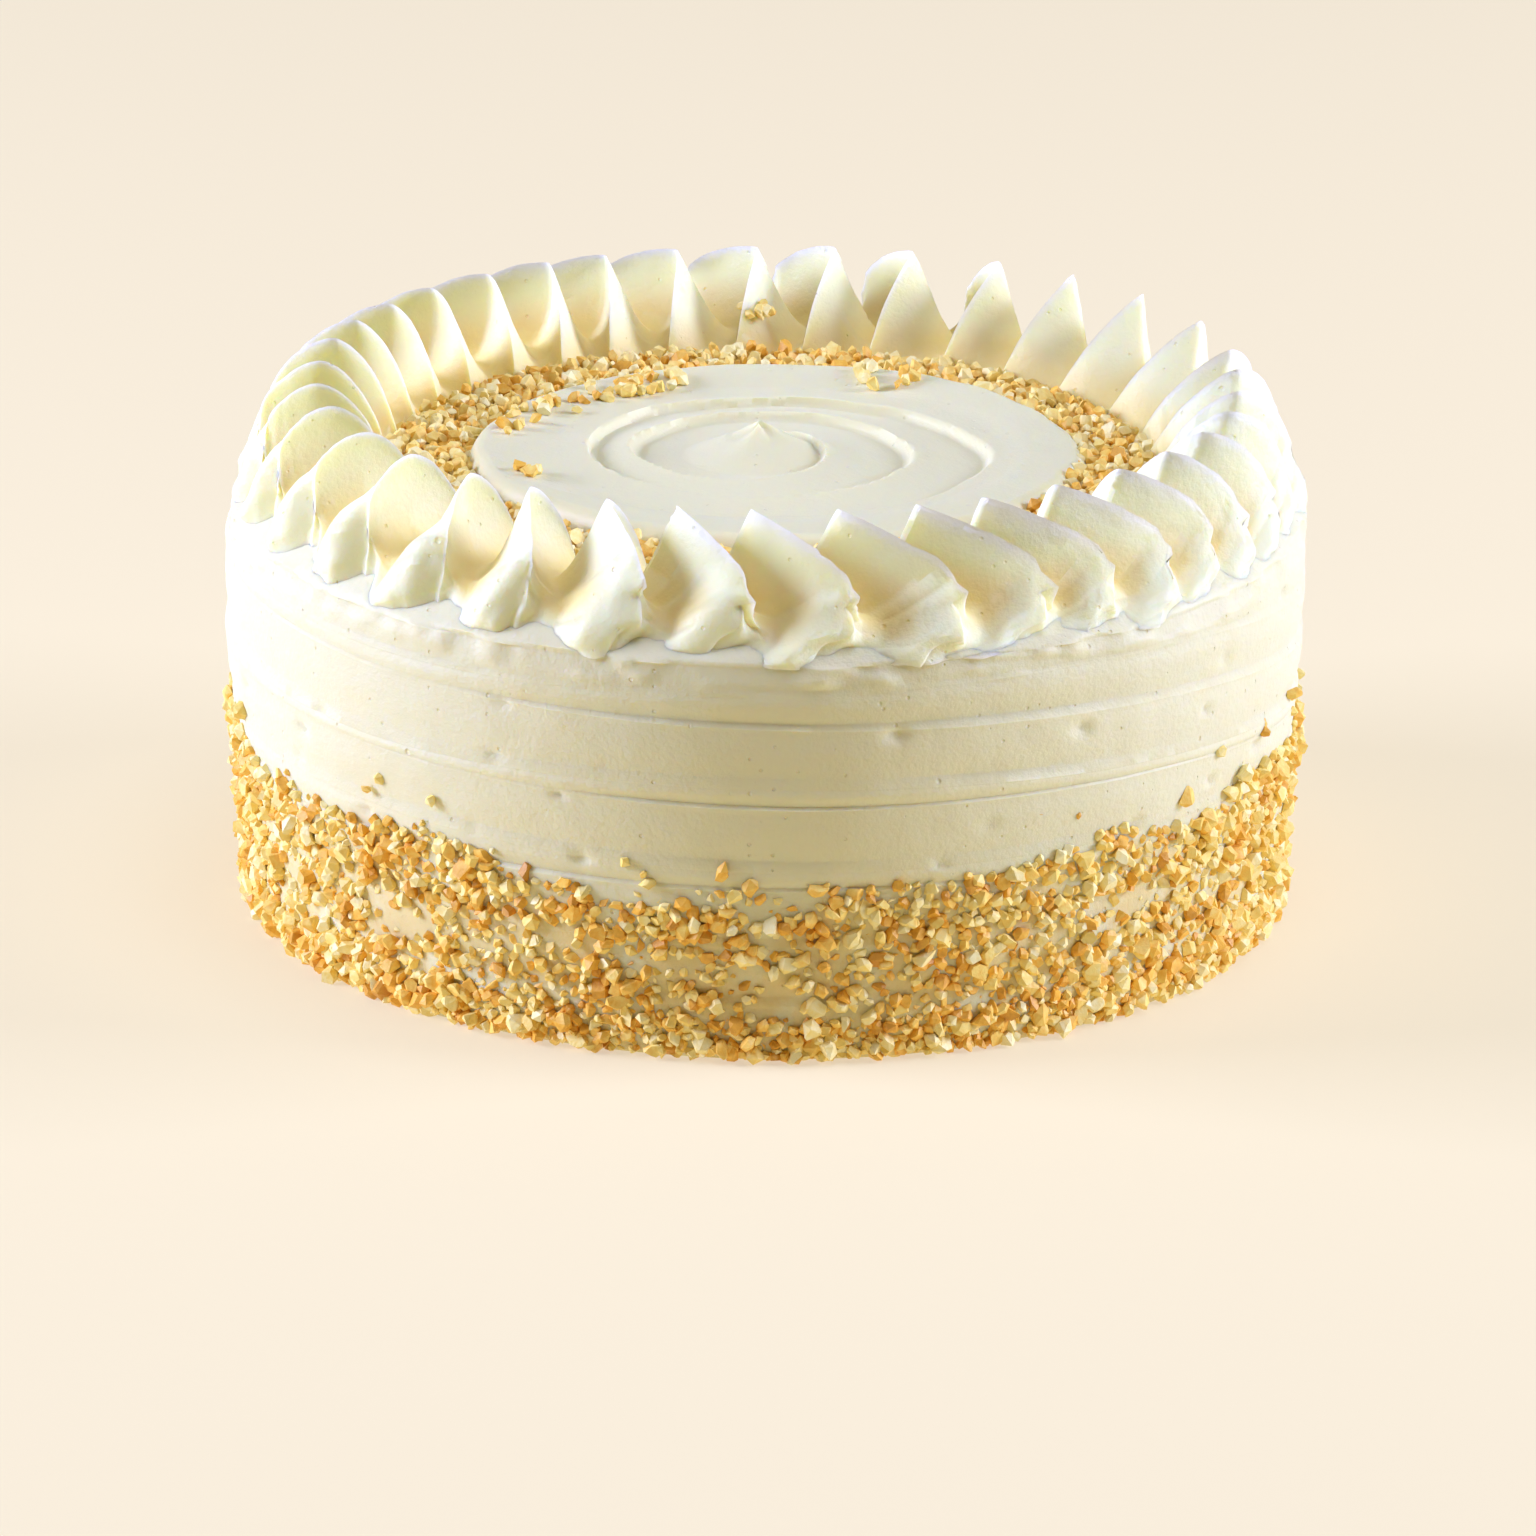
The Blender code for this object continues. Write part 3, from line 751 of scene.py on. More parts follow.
# Painted shade: how much yellower the valleys between ruffles are, less so at their outer foot, and the
# inner foot
VALLEY_SHADE = 0.85
VALLEY_HEIGHTS = (0.04, 0.72)
FOOT_SHADE_LOSS = 0.85
FOOT_SHADE_FADE = (0.66, 0.92)
INNER_VALLEY_SHARE = 0.55
INNER_FOOT_SHADE = 0.8
INNER_FOOT_LEVELS = (92.0, 102.0)

# %% Torn edges of the ruffles
TEAR_NOTCH = 0.81


def make_tears():
    """How far each ruffle's torn edge runs ahead, at places from its peak (0) to its outer foot (1)."""
    tears = []
    for _ in RUFFLE_PEAKS:
        knots = np.sort(tear_draw.uniform(0.3, 0.68, 5))
        depths = tear_draw.uniform(0.0, 0.35, 5) * np.where(np.arange(5) % 2, 1.0, -1.0)
        first = 0.76 + tear_draw.uniform(-0.03, 0.03)
        second = 0.90 + tear_draw.uniform(-0.02, 0.02)
        tips = tear_draw.uniform(0.5, 1.25, 2)
        places = [0.0, 0.2, *knots, first - 0.05, first, TEAR_NOTCH, second, 0.95, 1.0]
        leads = [0.0, 0.0, *depths, 0.15, tips[0], -0.35, tips[1], -0.5, -0.9]
        tears.append((places, leads))
    return tears


tear_draw = np.random.default_rng(8)
TEARS = make_tears()
LUMPS = tear_draw.uniform(*LUMP_SIZES, len(RUFFLE_PEAKS))
print("ruffles:", len(TEARS))

# %% Border surface


def spline_through(rows, places):
    """Smooth curve through rows of numbers, read at places from 0 to the last row's index."""
    padded = np.vstack((2 * rows[0] - rows[1], rows, 2 * rows[-1] - rows[-2]))
    index = np.clip(np.floor(places).astype(int), 0, len(rows) - 2)
    share = (places - index)[:, None]
    a, b, c, d = (padded[index + shift] for shift in range(4))
    return b + 0.5 * share * (c - a + share * (2 * a - 5 * b + 4 * c - d + share * (3 * (b - c) + d - a)))


def rest_height(radius):
    """Height at which the border rests on the coat, a small gap above the flat top and the shoulder."""
    fall = (EDGE_HEIGHT - TOP_HEIGHT) / (EDGE_RADIUS - SHOULDER_RADIUS)
    return TOP_HEIGHT + BORDER_GAP + np.minimum(fall * (radius - SHOULDER_RADIUS - BORDER_GAP), 0.0)


def ruffle_points(number, line_places, over):
    """Points of one ruffle: a row for each line, a column for each place from inner to outer foot."""
    peak = RUFFLE_PEAKS[number]
    following = (number + 1) % len(RUFFLE_PEAKS)
    pitch = (RUFFLE_PEAKS[following] - peak) % 360
    lines = spline_through(RUFFLE_LINES, line_places)
    place, height, width, foot_place = (lines[:, column][:, None] for column in range(4))
    share = (line_places / (len(RUFFLE_LINES) - 1))[:, None]
    outside = over[None, :] > 0.5
    out = np.sin(np.abs(over[None, :] - 0.5) * np.pi)
    turn = peak + pitch * place
    pointed = np.maximum(around(POINTED, turn), 0.0)
    pointed = np.where(outside, pointed, INNER_POINTED * pointed + INNER_POINTED_EVEN)
    arch_power = ROUND_POWER + (POINTED_POWER - ROUND_POWER) * pointed
    arch = np.maximum(1 - out ** (2 - pointed), 0.0) ** arch_power
    half = np.where(outside, BORDER_OUTER_HALF, -BORDER_INNER_HALF)
    radius = BORDER_RADIUS + out * half * width + around(PEAK_OUTWARD, turn) * arch * height
    crest = np.exp(-((place / PINCH_REACH) ** 2)) + np.exp(-(((1 - place) / PINCH_REACH) ** 2))
    pinch = around(PINCH, turn) * crest * smoothstep(0.6, 1.0, out)
    along = np.sin(np.pi * np.clip((place - LUMP_START) / LUMP_LENGTH, 0, 1))
    lump = (LUMPS[number] * (1 - share) + LUMPS[following] * share) * along * around(FOOT_LUMP, turn)
    lump_out = LUMP_OUTWARD * lump * smoothstep(*LUMP_OUT_RISE, out) * (1 - smoothstep(*LUMP_OUT_FALL, out))
    lump_up = LUMP_LIFT * lump * smoothstep(*LUMP_UP_RISE, out) * (1 - smoothstep(*LUMP_UP_FALL, out))
    turn = peak + pitch * (foot_place + (place - foot_place) * np.sqrt(arch))
    past = np.maximum(out - SWEEP_LOSS_FROM, 0.0) / (1 - SWEEP_LOSS_FROM)
    outer_lead = np.minimum(out / SWEEP_FULL_AT, 1.0) * (1 - SWEEP_FOOT_LOSS * past)
    turn = turn + around(SWEEP, turn) * np.where(outside, outer_lead, SWEEP_INNER_SHARE * out**1.5)
    here = np.exp(-((share / TEAR_UNDER_REACH) ** 2)) * np.interp(out, *TEARS[number])
    there = np.exp(-(((1 - share) / TEAR_REACH) ** 2)) * np.interp(out, *TEARS[following])
    torn = (here + there) * around(RAGGED, turn) * TEAR_DEPTH * smoothstep(0.25, 0.5, out)
    turn = turn + np.degrees(np.where(outside, torn, 0.0) / BORDER_RADIUS)
    radius = radius + np.where(outside, lump_out - pinch + 0.4 * torn, 0.0)
    rest = rest_height(radius)
    level = rest + RUFFLE_LIFT * (1 - out**2) + height * arch * (RUFFLE_HEIGHT - RUFFLE_LIFT - rest)
    level = level + np.where(outside, lump_up, 0.0)
    # Painted shade: the valleys and the inner foot take the deep yellow where shade falls in them
    valley = 1 - smoothstep(*VALLEY_HEIGHTS, height)
    outer_share = 1 - FOOT_SHADE_LOSS * smoothstep(*FOOT_SHADE_FADE, out)
    crease = VALLEY_SHADE * valley * np.where(outside, outer_share, INNER_VALLEY_SHARE)
    inner_foot = INNER_FOOT_SHADE * (1 - smoothstep(*INNER_FOOT_LEVELS, level))
    crease = np.maximum(crease, np.where(outside, 0.0, inner_foot))
    return radius, turn, level - BORDER_SINK * smoothstep(0.7, 1.0, out), crease


# %% Make the border
LINE_COUNT = len(RUFFLE_PEAKS) * LINES_PER_RUFFLE
SECTION_COUNT = OVER_POINTS + len(UNDER_RADII)

start_fresh()
bpy.ops.mesh.primitive_circle_add(
    vertices=SECTION_COUNT,
    radius=BORDER_INNER_HALF * MM,
    location=(BORDER_RADIUS * MM, 0, 0),
    rotation=(math.pi / 2, 0, 0),
)
border = bpy.context.object
border.name = "ruffled_border"
bpy.ops.object.transform_apply(location=True, rotation=True, scale=True)
bpy.ops.object.mode_set(mode="EDIT")
spin_round(border, len(RUFFLE_PEAKS), LINES_PER_RUFFLE - 1)
print("lines and section points:", LINE_COUNT, SECTION_COUNT, "points:", len(border.data.vertices))


def ring_places(shape):
    """Which line and which section point of the ring each point of the mesh is."""
    points = points_of(shape)
    turn = np.degrees(np.arctan2(points[:, 1], points[:, 0]))
    line = np.rint(turn / 360 * LINE_COUNT).astype(int) % LINE_COUNT
    out = np.hypot(points[:, 0], points[:, 1]) - BORDER_RADIUS
    section = np.degrees(np.arctan2(points[:, 2], -out))
    return line, np.rint(section / 360 * SECTION_COUNT).astype(int) % SECTION_COUNT


def border_points():
    """The border's surface: for each line and section point its place, and how much painted shade it takes
    in a crease.
    """
    line_places = np.linspace(0, len(RUFFLE_LINES) - 1, LINES_PER_RUFFLE, endpoint=False)
    over = 0.5 - 0.5 * np.cos(np.linspace(0, np.pi, OVER_POINTS))
    over = (1 - EVEN_SHARE) * over + EVEN_SHARE * np.linspace(0, 1, OVER_POINTS)
    parts = []
    for number in range(len(RUFFLE_PEAKS)):
        radius, turn, level, crease = ruffle_points(number, line_places, over)
        under = np.linspace(0, 1, len(UNDER_RADII) + 2)[1:-1][None, :]
        under_radius = np.tile(UNDER_RADII, (len(radius), 1))
        under_turn = turn[:, -1:] + (turn[:, :1] - turn[:, -1:]) * under
        radius = np.hstack((radius, under_radius))
        turn = np.hstack((turn, under_turn))
        level = np.hstack((level, rest_height(under_radius) - BORDER_SINK))
        angle = np.radians(turn)
        crease = np.hstack((crease, np.zeros_like(under_radius)))
        columns = (radius * np.cos(angle), radius * np.sin(angle), level, crease)
        parts.append(np.stack(columns, axis=-1))
    return np.concatenate(parts)


line_index, section_index = ring_places(border)
cream_table = border_points()[line_index, section_index]
cream_points = cream_table[:, :3]
creased = border.data.attributes.new("crease", "FLOAT", "POINT")
creased.data.foreach_set("value", cream_table[:, 3].astype(np.float32))
rough = ROUGH_DEPTH * wobble(cream_points, ROUGH_SIZE)
rough += SKIN_DEPTH * wobble(cream_points, SKIN_SIZE, octaves=3)
cream_reach = np.hypot(cream_points[:, 0], cream_points[:, 1])
foot = smoothstep(*SKIRT_RADII, cream_reach) * (1 - smoothstep(*SKIRT_LEVELS, cream_points[:, 2]))
skirt_lumps = wobble(cream_points + 80.0, SKIRT_WAVE, octaves=3)
skirt = foot * np.maximum(skirt_lumps + SKIRT_EVEN, 0.0) * SKIRT_REACH
outward = cream_points * [1, 1, 0] / cream_reach[:, None] * (rough + skirt)[:, None]
upward = [[0, 0, 1.0]] * (ROUGH_RISE * rough - SKIRT_DROP * skirt)[:, None]
place_points(border, cream_points + outward + upward)
bpy.ops.object.mode_set(mode="EDIT")
bpy.ops.mesh.select_all(action="SELECT")
bpy.ops.mesh.normals_make_consistent(inside=False)
bpy.ops.object.mode_set(mode="OBJECT")
bpy.ops.object.shade_smooth_by_angle(angle=math.radians(70))
finish_piece(border, piped_cream, "piped_border")

# %% [markdown]
# ## Chopped roasted nuts
# A knife leaves flat cut faces on what was a smooth round kernel. Twelve pieces are made that way: a
# small round lump is squashed and cut by four planes. They are then copied by the thousand, each turned
# and scaled at random, and joined to one mesh. Each copy carries one number, which its material reads:
# how well it is roasted, and on the side a darker shift towards the front that is painted shade.

# %% Nut pieces to copy
draw = np.random.default_rng(5)
CHIP_KINDS = 12
CHIP_CUTS = 4
CHIP_CUT_DISTANCES = (0.12, 0.32)
CHIP_LENGTHS = ((1.1, 1.45), (0.8, 1.0), (0.6, 0.85))
CHIP_MERGE = 0.1


def make_chip(number):
    """Points, about their middle and one unit long, and triangles of one kind of nut piece."""
    start_fresh()
    bpy.ops.mesh.primitive_ico_sphere_add(subdivisions=1, radius=0.5)
    chip = bpy.context.object
    chip.name = f"nut_kind_{number}"
    bpy.ops.object.mode_set(mode="EDIT")
    bpy.ops.mesh.select_all(action="SELECT")
    bpy.ops.transform.resize(value=[draw.uniform(*limits) for limits in CHIP_LENGTHS])
    for _ in range(CHIP_CUTS):
        normal = draw.normal(size=3)
        normal /= np.linalg.norm(normal)
        middle = normal * draw.uniform(*CHIP_CUT_DISTANCES)
        bpy.ops.mesh.select_all(action="SELECT")
        bpy.ops.mesh.bisect(plane_co=middle, plane_no=normal, use_fill=True, clear_outer=True)
    bpy.ops.mesh.select_all(action="SELECT")
    bpy.ops.mesh.remove_doubles(threshold=CHIP_MERGE)
    bpy.ops.mesh.quads_convert_to_tris()
    bpy.ops.mesh.normals_make_consistent(inside=False)
    bpy.ops.object.mode_set(mode="OBJECT")
    points = points_of(chip) * MM
    faces = np.array([list(face.vertices) for face in chip.data.polygons])
    bpy.data.objects.remove(chip, do_unlink=True)
    points -= points.mean(axis=0)
    return points / np.abs(points).max() / 2, faces


chip_kinds = [make_chip(number) for number in range(CHIP_KINDS)]
print("faces of each kind of nut piece:", [len(faces) for _, faces in chip_kinds])

# %% Copy and join nut pieces


def random_turns(count):
    """Evenly random rotations, as count 3 by 3 matrices."""
    q = draw.normal(size=(count, 4))
    q /= np.linalg.norm(q, axis=1)[:, None]
    w, x, y, z = q.T
    return np.stack(
        (
            np.stack((1 - 2 * (y * y + z * z), 2 * (x * y - w * z), 2 * (x * z + w * y)), axis=1),
            np.stack((2 * (x * y + w * z), 1 - 2 * (x * x + z * z), 2 * (y * z - w * x)), axis=1),
            np.stack((2 * (x * z - w * y), 2 * (y * z + w * x), 1 - 2 * (x * x + y * y)), axis=1),
        ),
        axis=1,
    )


def joined_chips(name, centres, sizes, roast_and_shade):
    """One mesh of nut pieces at these centres, with these lengths in millimetres."""
    turns = random_turns(len(centres))
    kinds = draw.integers(0, CHIP_KINDS, len(centres))
    points, faces, tones = [], [], []
    total = 0
    for centre, size, turn, kind, tone in zip(centres, sizes, turns, kinds, roast_and_shade):
        shape, triangles = chip_kinds[kind]
        points.append((shape * size) @ turn.T + centre)
        faces.append(triangles + total)
        tones.append(np.full(len(shape), tone))
        total += len(shape)
    mesh = bpy.data.meshes.new(name)
    mesh.from_pydata((np.vstack(points) * MM).tolist(), [], np.vstack(faces).tolist())
    roasted = mesh.attributes.new("roast_and_shade", "FLOAT", "POINT")
    roasted.data.foreach_set("value", np.concatenate(tones).astype(np.float32))
    obj = bpy.data.objects.new(name, mesh)
    bpy.context.scene.collection.objects.link(obj)
    start_fresh()
    obj.select_set(True)
    bpy.context.view_layer.objects.active = obj
    bpy.ops.object.shade_smooth_by_angle(angle=math.radians(28))
    return obj


# %% [markdown]
# Roasted nuts are pale cream inside and golden to amber outside, and each piece differs. The colour runs
# along a ramp by the piece's own roast number, shifted by noise so that one piece shows both skin and
# flesh. The flesh is waxy, so it takes a soft sheen.

# %% Nut material


# Tones from pale flesh to dark skin, each with its place along the ramp
NUT_TONES = (
    (0.0, (1.0, 0.89, 0.43)),
    (0.35, (1.0, 0.76, 0.19)),
    (0.7, (0.95, 0.51, 0.05)),
    (1.0, (0.70, 0.32, 0.025)),
)
BLOTCH_SCALE = 420.0
BLOTCH_SHIFT = 0.9
CUT_SCALE = 1500.0
CUT_DEPTH_MM = 0.25


def make_nut_material():
    """Nut in the tone of each piece's roast number, with blotches and a rough cut face."""
    material = bpy.data.materials.new("roasted nut")
    material.use_nodes = True
    tree = material.node_tree
    shader = tree.nodes["Principled BSDF"]
    place = tree.nodes.new("ShaderNodeTexCoord").outputs["Object"]
    roast_and_shade = tree.nodes.new("ShaderNodeAttribute")
    roast_and_shade.attribute_name = "roast_and_shade"
    blotch = noise_node(tree, place, BLOTCH_SCALE, roughness=0.6)
    blotch = math_node(tree, "MULTIPLY", blotch, BLOTCH_SHIFT)
    shifted = math_node(tree, "ADD", roast_and_shade.outputs["Fac"], blotch)
    shifted = math_node(tree, "SUBTRACT", shifted, BLOTCH_SHIFT / 2, clamp=True)
    ramp = tree.nodes.new("ShaderNodeValToRGB")
    for element, (position, colour) in zip(ramp.color_ramp.elements, (NUT_TONES[0], NUT_TONES[-1])):
        element.position = position
        element.color = (*colour, 1)
    for position, colour in NUT_TONES[1:-1]:
        ramp.color_ramp.elements.new(position).color = (*colour, 1)
    tree.links.new(shifted, ramp.inputs["Fac"])
    tree.links.new(ramp.outputs["Color"], shader.inputs["Base Color"])
    bump = tree.nodes.new("ShaderNodeBump")
    bump.inputs["Strength"].default_value = 0.6
    bump.inputs["Distance"].default_value = CUT_DEPTH_MM * MM
    tree.links.new(noise_node(tree, place, CUT_SCALE, roughness=0.6), bump.inputs["Height"])
    tree.links.new(bump.outputs["Normal"], shader.inputs["Normal"])
    shader.inputs["Roughness"].default_value = 0.5
    return material


roasted_nut = make_nut_material()

# %% [markdown]
# Nuts were pressed on by the handful. They heap up at the foot, are thinner in the middle with bare
# patches, and crowd again below an uneven edge with a few strays. Places are drawn at random and kept
# only where the nearest piece is not too close, which gives the even crowding of real handfuls without a
# regular grid.

# %% Nuts on the side
SIDE_TRIES = 60000
SIDE_SPACING = 1.55
FOOT_TRIES = 6000
FOOT_SPACING = 1.8
FOOT_TOP = 8.5
FOOT_HEAP = 0.9
SIDE_LEVELS = (0.8, 56.0)

# Chance that a place is taken: less between foot and edge, in bare patches, and for strays above the edge
THIN_LOSS = 0.62
THIN_FROM = (9.0, 14.0)
THIN_TO = (24.0, 32.0)
BARE_LOSS = 0.8
BARE_RANGE = (0.18, 0.45)
BARE_SIZE = 20.0
BARE_SQUEEZE = 2.2
BARE_FROM = (8.0, 13.0)
EDGE_FADE = (-3.0, 1.0)
STRAY_CHANCE = 0.008
STRAY_FADE = (3.0, 14.0)

# Length of the pieces in millimetres, how deep they sit, and how dark they are roasted, with painted shade
# that darkens the front
NUT_LENGTH = 3.3
SIDE_LENGTH_SPREAD = 0.27
SIDE_LENGTHS = (1.6, 5.2)
SIDE_SINK = 0.7
SIDE_STANDS = (0.10, 0.42)
LOWEST_SHARE = 0.42
ROAST_SPREAD = (1.6, 3.0)
ROAST_POWER = 0.85
ROAST_MEAN = 0.95
FRONT_SHADE_SWING = 0.22


def spaced(places, spacing, period):
    """Indices of places, in order, that keep their distance; the first coordinate closes on itself."""
    cells = {}
    kept = []
    columns = int(period / spacing)
    for index, (x, y) in enumerate(places):
        column, row = int(x / period * columns), int(y // spacing)
        clear = True
        for near_column in (column - 1, column, column + 1):
            for near_row in (row - 1, row, row + 1):
                for other_x, other_y in cells.get((near_column % columns, near_row), ()):
                    apart = abs(other_x - x)
                    apart = min(apart, period - apart)
                    if apart * apart + (other_y - y) ** 2 < spacing * spacing:
                        clear = False
        if clear:
            cells.setdefault((column, row), []).append((x, y))
            kept.append(index)
    return np.array(kept)


girth = 2 * np.pi * NUT_RADIUS
tries = np.column_stack((draw.uniform(0, girth, SIDE_TRIES), draw.uniform(*SIDE_LEVELS, SIDE_TRIES)))
try_turn = tries[:, 0] / girth * 360
try_level = tries[:, 1]
above_edge = try_level - nut_edge(try_turn)
try_points = ring_points(np.radians(try_turn), NUT_RADIUS, try_level)
bare = smoothstep(*BARE_RANGE, wobble(try_points * [1, 1, BARE_SQUEEZE], BARE_SIZE))
density = 1 - THIN_LOSS * smoothstep(*THIN_FROM, try_level) * (1 - smoothstep(*THIN_TO, try_level))
density *= 1 - smoothstep(*EDGE_FADE, above_edge)
density *= 1 - BARE_LOSS * bare * smoothstep(*BARE_FROM, try_level)
density += STRAY_CHANCE * (1 - smoothstep(*STRAY_FADE, above_edge)) * (above_edge > 0)
chosen = tries[draw.uniform(0, 1, SIDE_TRIES) < density]
chosen = chosen[spaced(chosen, SIDE_SPACING, girth)]
heap_along = draw.uniform(0, girth, FOOT_TRIES)
heap = np.column_stack((heap_along, draw.uniform(SIDE_LEVELS[0], FOOT_TOP, FOOT_TRIES)))
heap = heap[spaced(heap, FOOT_SPACING, girth)]
heaped = np.arange(len(chosen) + len(heap)) >= len(chosen)
chosen = np.vstack((chosen, heap))
print("nut pieces on the side:", len(chosen))

side_turn = chosen[:, 0] / girth * 2 * np.pi
side_sizes = draw.lognormal(math.log(NUT_LENGTH), SIDE_LENGTH_SPREAD, len(chosen))
side_sizes = np.clip(side_sizes, *SIDE_LENGTHS)
side_reach = side_radius(chosen[:, 1]) - SIDE_SINK + side_sizes * draw.uniform(*SIDE_STANDS, len(chosen))
side_reach += FOOT_HEAP * heaped
side_level = np.maximum(chosen[:, 1], side_sizes * LOWEST_SHARE)
side_centres = ring_points(side_turn, side_reach, side_level)
side_roast_and_shade = draw.beta(*ROAST_SPREAD, len(chosen)) ** ROAST_POWER
# Painted shade: pieces towards the front, which lies in shade, are darkened, and those at the back made
# paler
side_roast_and_shade = side_roast_and_shade * (ROAST_MEAN - FRONT_SHADE_SWING * np.sin(side_turn))
side_roast_and_shade = np.clip(side_roast_and_shade, 0, 1)
side_nuts = joined_chips("side_nuts", side_centres, side_sizes, side_roast_and_shade)
finish_piece(side_nuts, roasted_nut, "frosted_cake")

# %% Nuts on top
TOP_TRIES = 16000
# Two layers of nuts: inner and outer radius, spacing, and height over the bed
TOP_LAYERS = ((62.0, 80.5, 1.9, 1.0), (63.8, 77.5, 2.565, 2.6))
TOP_LEVEL_SWING = 0.4
TOP_LENGTH_SPREAD = 0.25
TOP_LENGTHS = (1.7, 6.0)
TOP_ROAST_SPREAD = (1.9, 3.0)

# Pieces that rolled onto the disc: count, from and to which angle, inner and outer radius
STRAYS = (
    (26, 118, 152, 47.0, 57.0),
    (12, 150, 176, 52.0, 60.0),
    (6, 112, 122, 50.0, 56.0),
    (14, 60, 74, 49.0, 58.0),
    (5, 198, 206, 52.0, 58.0),
    (2, 282, 284, 58.0, 60.0),
)
STRAY_LEVEL = 1.9
STRAY_RIM_LEVEL = 0.8
STRAY_LENGTH_SPREAD = 0.2
STRAY_LENGTHS = (2.0, 5.0)
STRAY_ROAST_SPREAD = (2.0, 3.5)
# Pieces on the back of the border: count, and limits of x, y and z
BORDER_STRAYS = 7
BORDER_STRAY_BOX = ((-9, 1), (82.5, 85.5), (98.0, 101.0))


def ring_of_nuts(inner, outer, spacing, tries_count):
    """Spaced places in a flat ring, as angle in radians and radius."""
    middle = (inner + outer) / 2
    turn = draw.uniform(0, 2 * np.pi, tries_count)
    radius = np.sqrt(draw.uniform(inner**2, outer**2, tries_count))
    flat = np.column_stack((turn * middle, radius))
    kept = spaced(flat, spacing, 2 * np.pi * middle)
    return turn[kept], radius[kept]


layers = [ring_of_nuts(inner, outer, spacing, TOP_TRIES) for inner, outer, spacing, _ in TOP_LAYERS]
top_turn = np.concatenate([turn for turn, _ in layers])
top_radius = np.concatenate([radius for _, radius in layers])
top_level = [np.full(len(turn), BED_HEIGHT + row[3]) for (turn, _), row in zip(layers, TOP_LAYERS)]
top_level = np.concatenate(top_level)
top_level += draw.uniform(-TOP_LEVEL_SWING, TOP_LEVEL_SWING, len(top_level))
top_sizes = draw.lognormal(math.log(NUT_LENGTH), TOP_LENGTH_SPREAD, len(top_turn))
top_sizes = np.clip(top_sizes, *TOP_LENGTHS)
top_centres = ring_points(top_turn, top_radius, top_level)
top_roast = draw.beta(*TOP_ROAST_SPREAD, len(top_turn))
stray_centres = []
for count, from_turn, to_turn, inner, outer in STRAYS:
    turn = np.radians(draw.uniform(from_turn, to_turn, count))
    reach = draw.uniform(inner, outer, count)
    level = DISC_LEVEL + STRAY_LEVEL + STRAY_RIM_LEVEL * smoothstep(*RIM_RADII, reach)
    stray_centres.append(ring_points(turn, reach, level) + [DISC_CENTRE.x, 0, 0])
stray_centres.append(np.column_stack([draw.uniform(*limits, BORDER_STRAYS) for limits in BORDER_STRAY_BOX]))
stray_centres = np.vstack(stray_centres)
stray_sizes = draw.lognormal(math.log(NUT_LENGTH), STRAY_LENGTH_SPREAD, len(stray_centres))
stray_sizes = np.clip(stray_sizes, *STRAY_LENGTHS)
stray_roast = draw.beta(*STRAY_ROAST_SPREAD, len(stray_centres))
top_nuts = joined_chips(
    "top_nuts",
    np.vstack((top_centres, stray_centres)),
    np.concatenate((top_sizes, stray_sizes)),
    np.concatenate((top_roast, stray_roast)),
)
finish_piece(top_nuts, roasted_nut, "frosted_cake")
print("nut pieces on top:", len(top_turn))

# %% [markdown]
# ## Floor, light and camera
# The floor is plain and pale, and glows softly, as paper does that is lit from below. The cake is lit as
# a bakery would photograph it: a large soft light on either side, low enough to rake over the bands and
# ruffles, a weaker one above for the top, and dim warm surroundings that keep the shade from going grey.
# The camera stands two metres off with a long lens, about nineteen degrees above the table.

# %% Floor
FLOOR_SIZE = 14.0
FLOOR_COLOUR = (0.40, 0.335, 0.185)
GLOW_COLOUR = (0.955, 0.86, 0.70)
GLOW_STRENGTH = 0.58

start_fresh()
bpy.ops.mesh.primitive_plane_add(size=FLOOR_SIZE, location=(0, 0, 0))
floor = bpy.context.object
floor.name = "floor"
floor_material = bpy.data.materials.new("pale floor")
floor_material.use_nodes = True
floor_shader = floor_material.node_tree.nodes["Principled BSDF"]
floor_shader.inputs["Base Color"].default_value = (*FLOOR_COLOUR, 1)
floor_shader.inputs["Emission Color"].default_value = (*GLOW_COLOUR, 1)
floor_shader.inputs["Emission Strength"].default_value = GLOW_STRENGTH
floor_shader.inputs["Roughness"].default_value = 0.9
floor_shader.inputs["Specular IOR Level"].default_value = 0.1
floor.data.materials.append(floor_material)

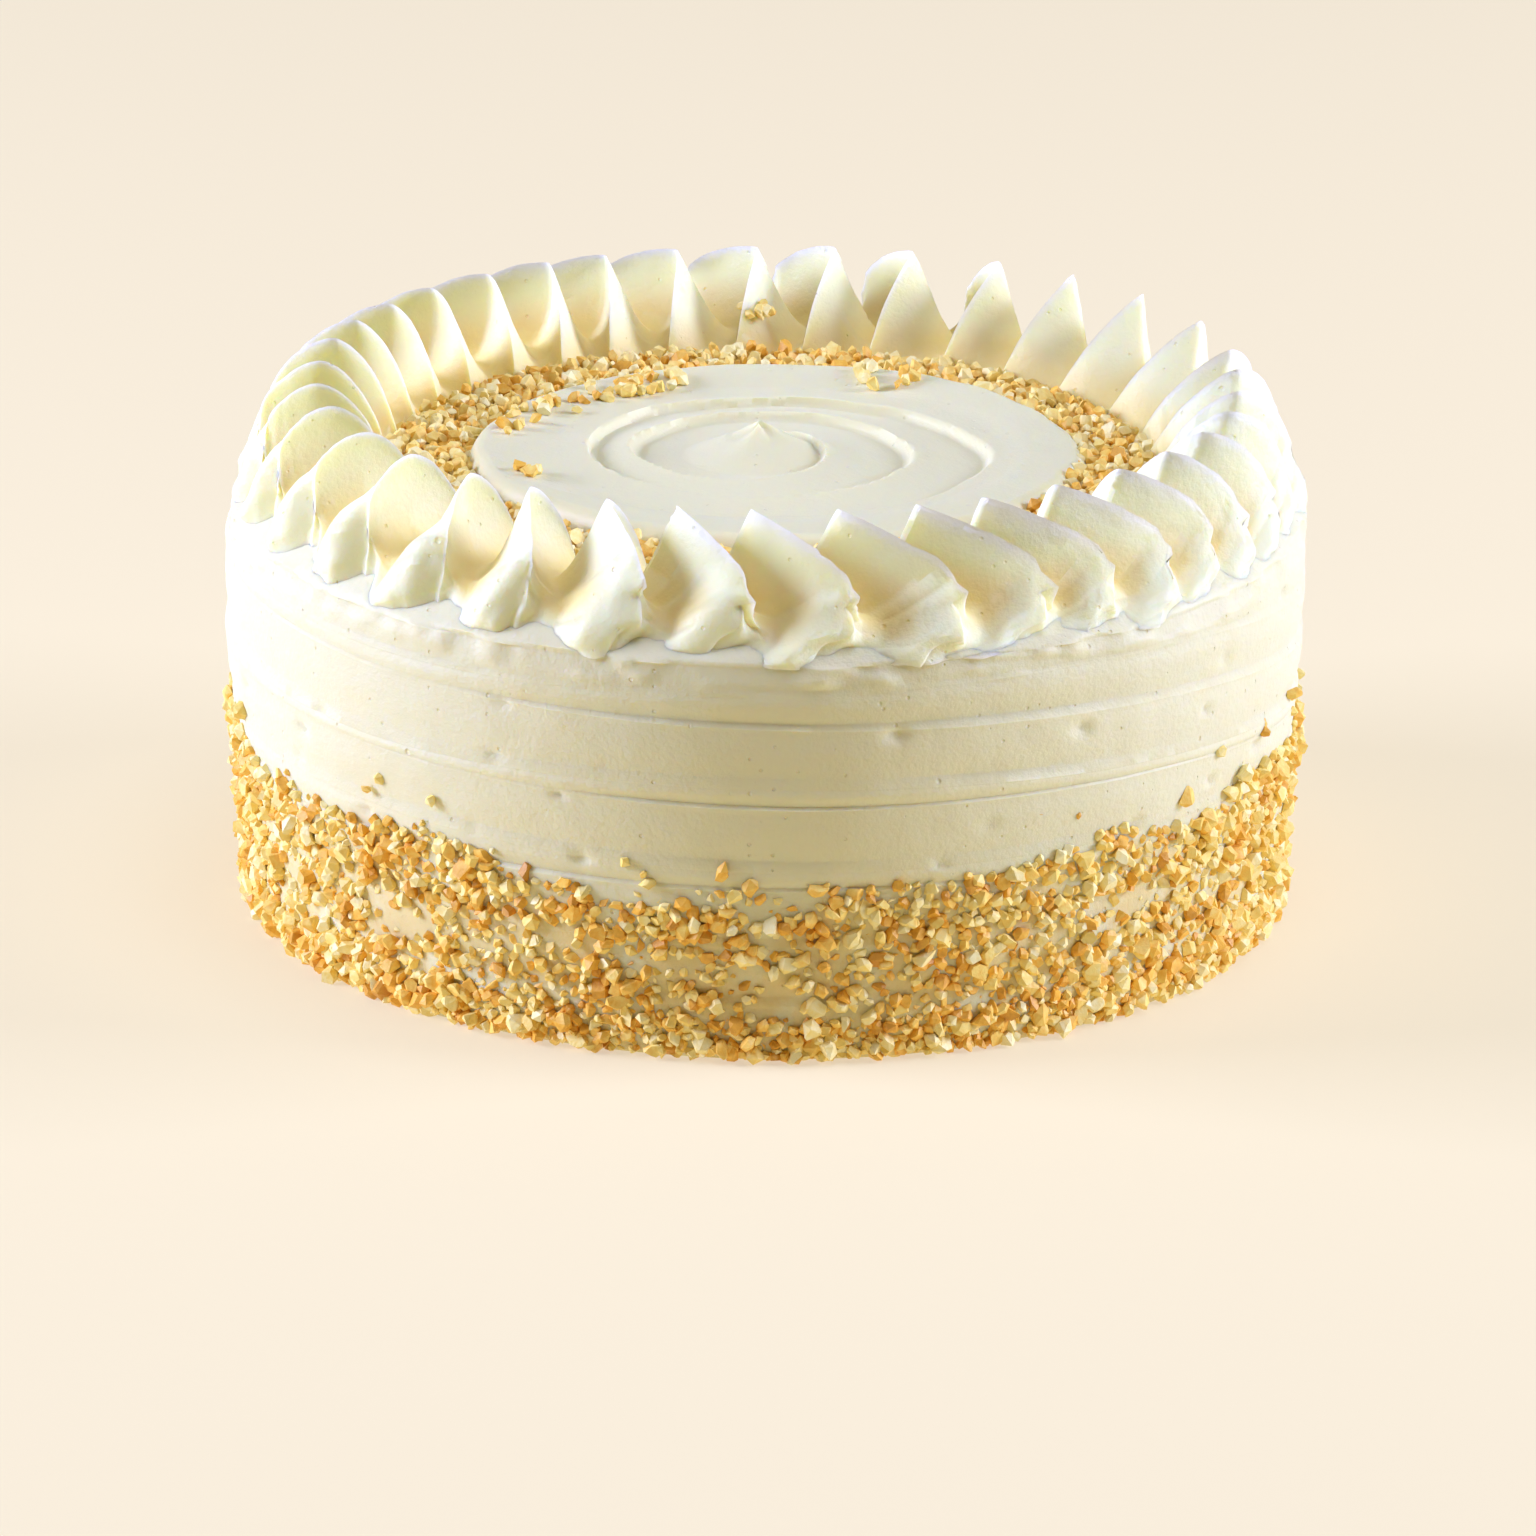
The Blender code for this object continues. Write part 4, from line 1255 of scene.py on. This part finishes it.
# %% Lights
# Name, azimuth, elevation, distance, size, power and colour of each soft light
LIGHTS = (
    ("left key", -89, 22, 2.4, 1.1, 62.0, (0.94, 1.04, 1.78)),
    ("right key", 91, 22, 2.4, 1.1, 50.0, (0.94, 1.04, 1.70)),
    ("top light", 60, 80, 2.2, 1.0, 15.5, (0.95, 1.0, 1.52)),
)
SURROUNDINGS_COLOUR = (1.0, 0.86, 0.45)
SURROUNDINGS_STRENGTH = 0.07


def soft_light(name, azimuth, elevation, distance, size, power, colour):
    """A square soft light aimed at the cake. Azimuth 0 stands in front of it, and 90 at its right."""
    turn, rise = math.radians(azimuth), math.radians(elevation)
    way = Vector((math.sin(turn) * math.cos(rise), -math.cos(turn) * math.cos(rise), math.sin(rise)))
    bpy.ops.object.light_add(type="AREA", location=way * distance)
    light = bpy.context.object
    light.name = name
    light.data.size = size
    light.data.energy = power
    light.data.color = colour
    light.rotation_euler = way.to_track_quat("Z", "Y").to_euler()


start_fresh()
for settings in LIGHTS:
    soft_light(*settings)

world = bpy.data.worlds.new("studio")
bpy.context.scene.world = world
world.use_nodes = True
surroundings = world.node_tree.nodes["Background"]
surroundings.inputs["Color"].default_value = (*SURROUNDINGS_COLOUR, 1)
surroundings.inputs["Strength"].default_value = SURROUNDINGS_STRENGTH
bpy.context.scene.view_settings.view_transform = "Standard"

# %% Camera
CAMERA_PLACE = Vector((0.0047, -1.9160, 0.6869))
CAMERA_DIP = math.radians(19.059)
CAMERA_YAW = math.radians(-0.110)
CAMERA_ROLL = math.radians(0.819)
LENS = 226.8
SENSOR_WIDTH = 36.0

ahead = Vector((0, math.cos(CAMERA_DIP), -math.sin(CAMERA_DIP)))
right = Vector((1, 0, 0))
up = right.cross(ahead)
ahead, right = (
    ahead * math.cos(CAMERA_YAW) + right * math.sin(CAMERA_YAW),
    right * math.cos(CAMERA_YAW) - ahead * math.sin(CAMERA_YAW),
)
right, up = (
    right * math.cos(CAMERA_ROLL) + up * math.sin(CAMERA_ROLL),
    up * math.cos(CAMERA_ROLL) - right * math.sin(CAMERA_ROLL),
)
bpy.ops.object.camera_add(location=CAMERA_PLACE)
camera = bpy.context.object
camera.rotation_euler = Matrix((right, up, -ahead)).transposed().to_euler()
camera.data.lens = LENS
camera.data.sensor_width = SENSOR_WIDTH
bpy.context.scene.camera = camera
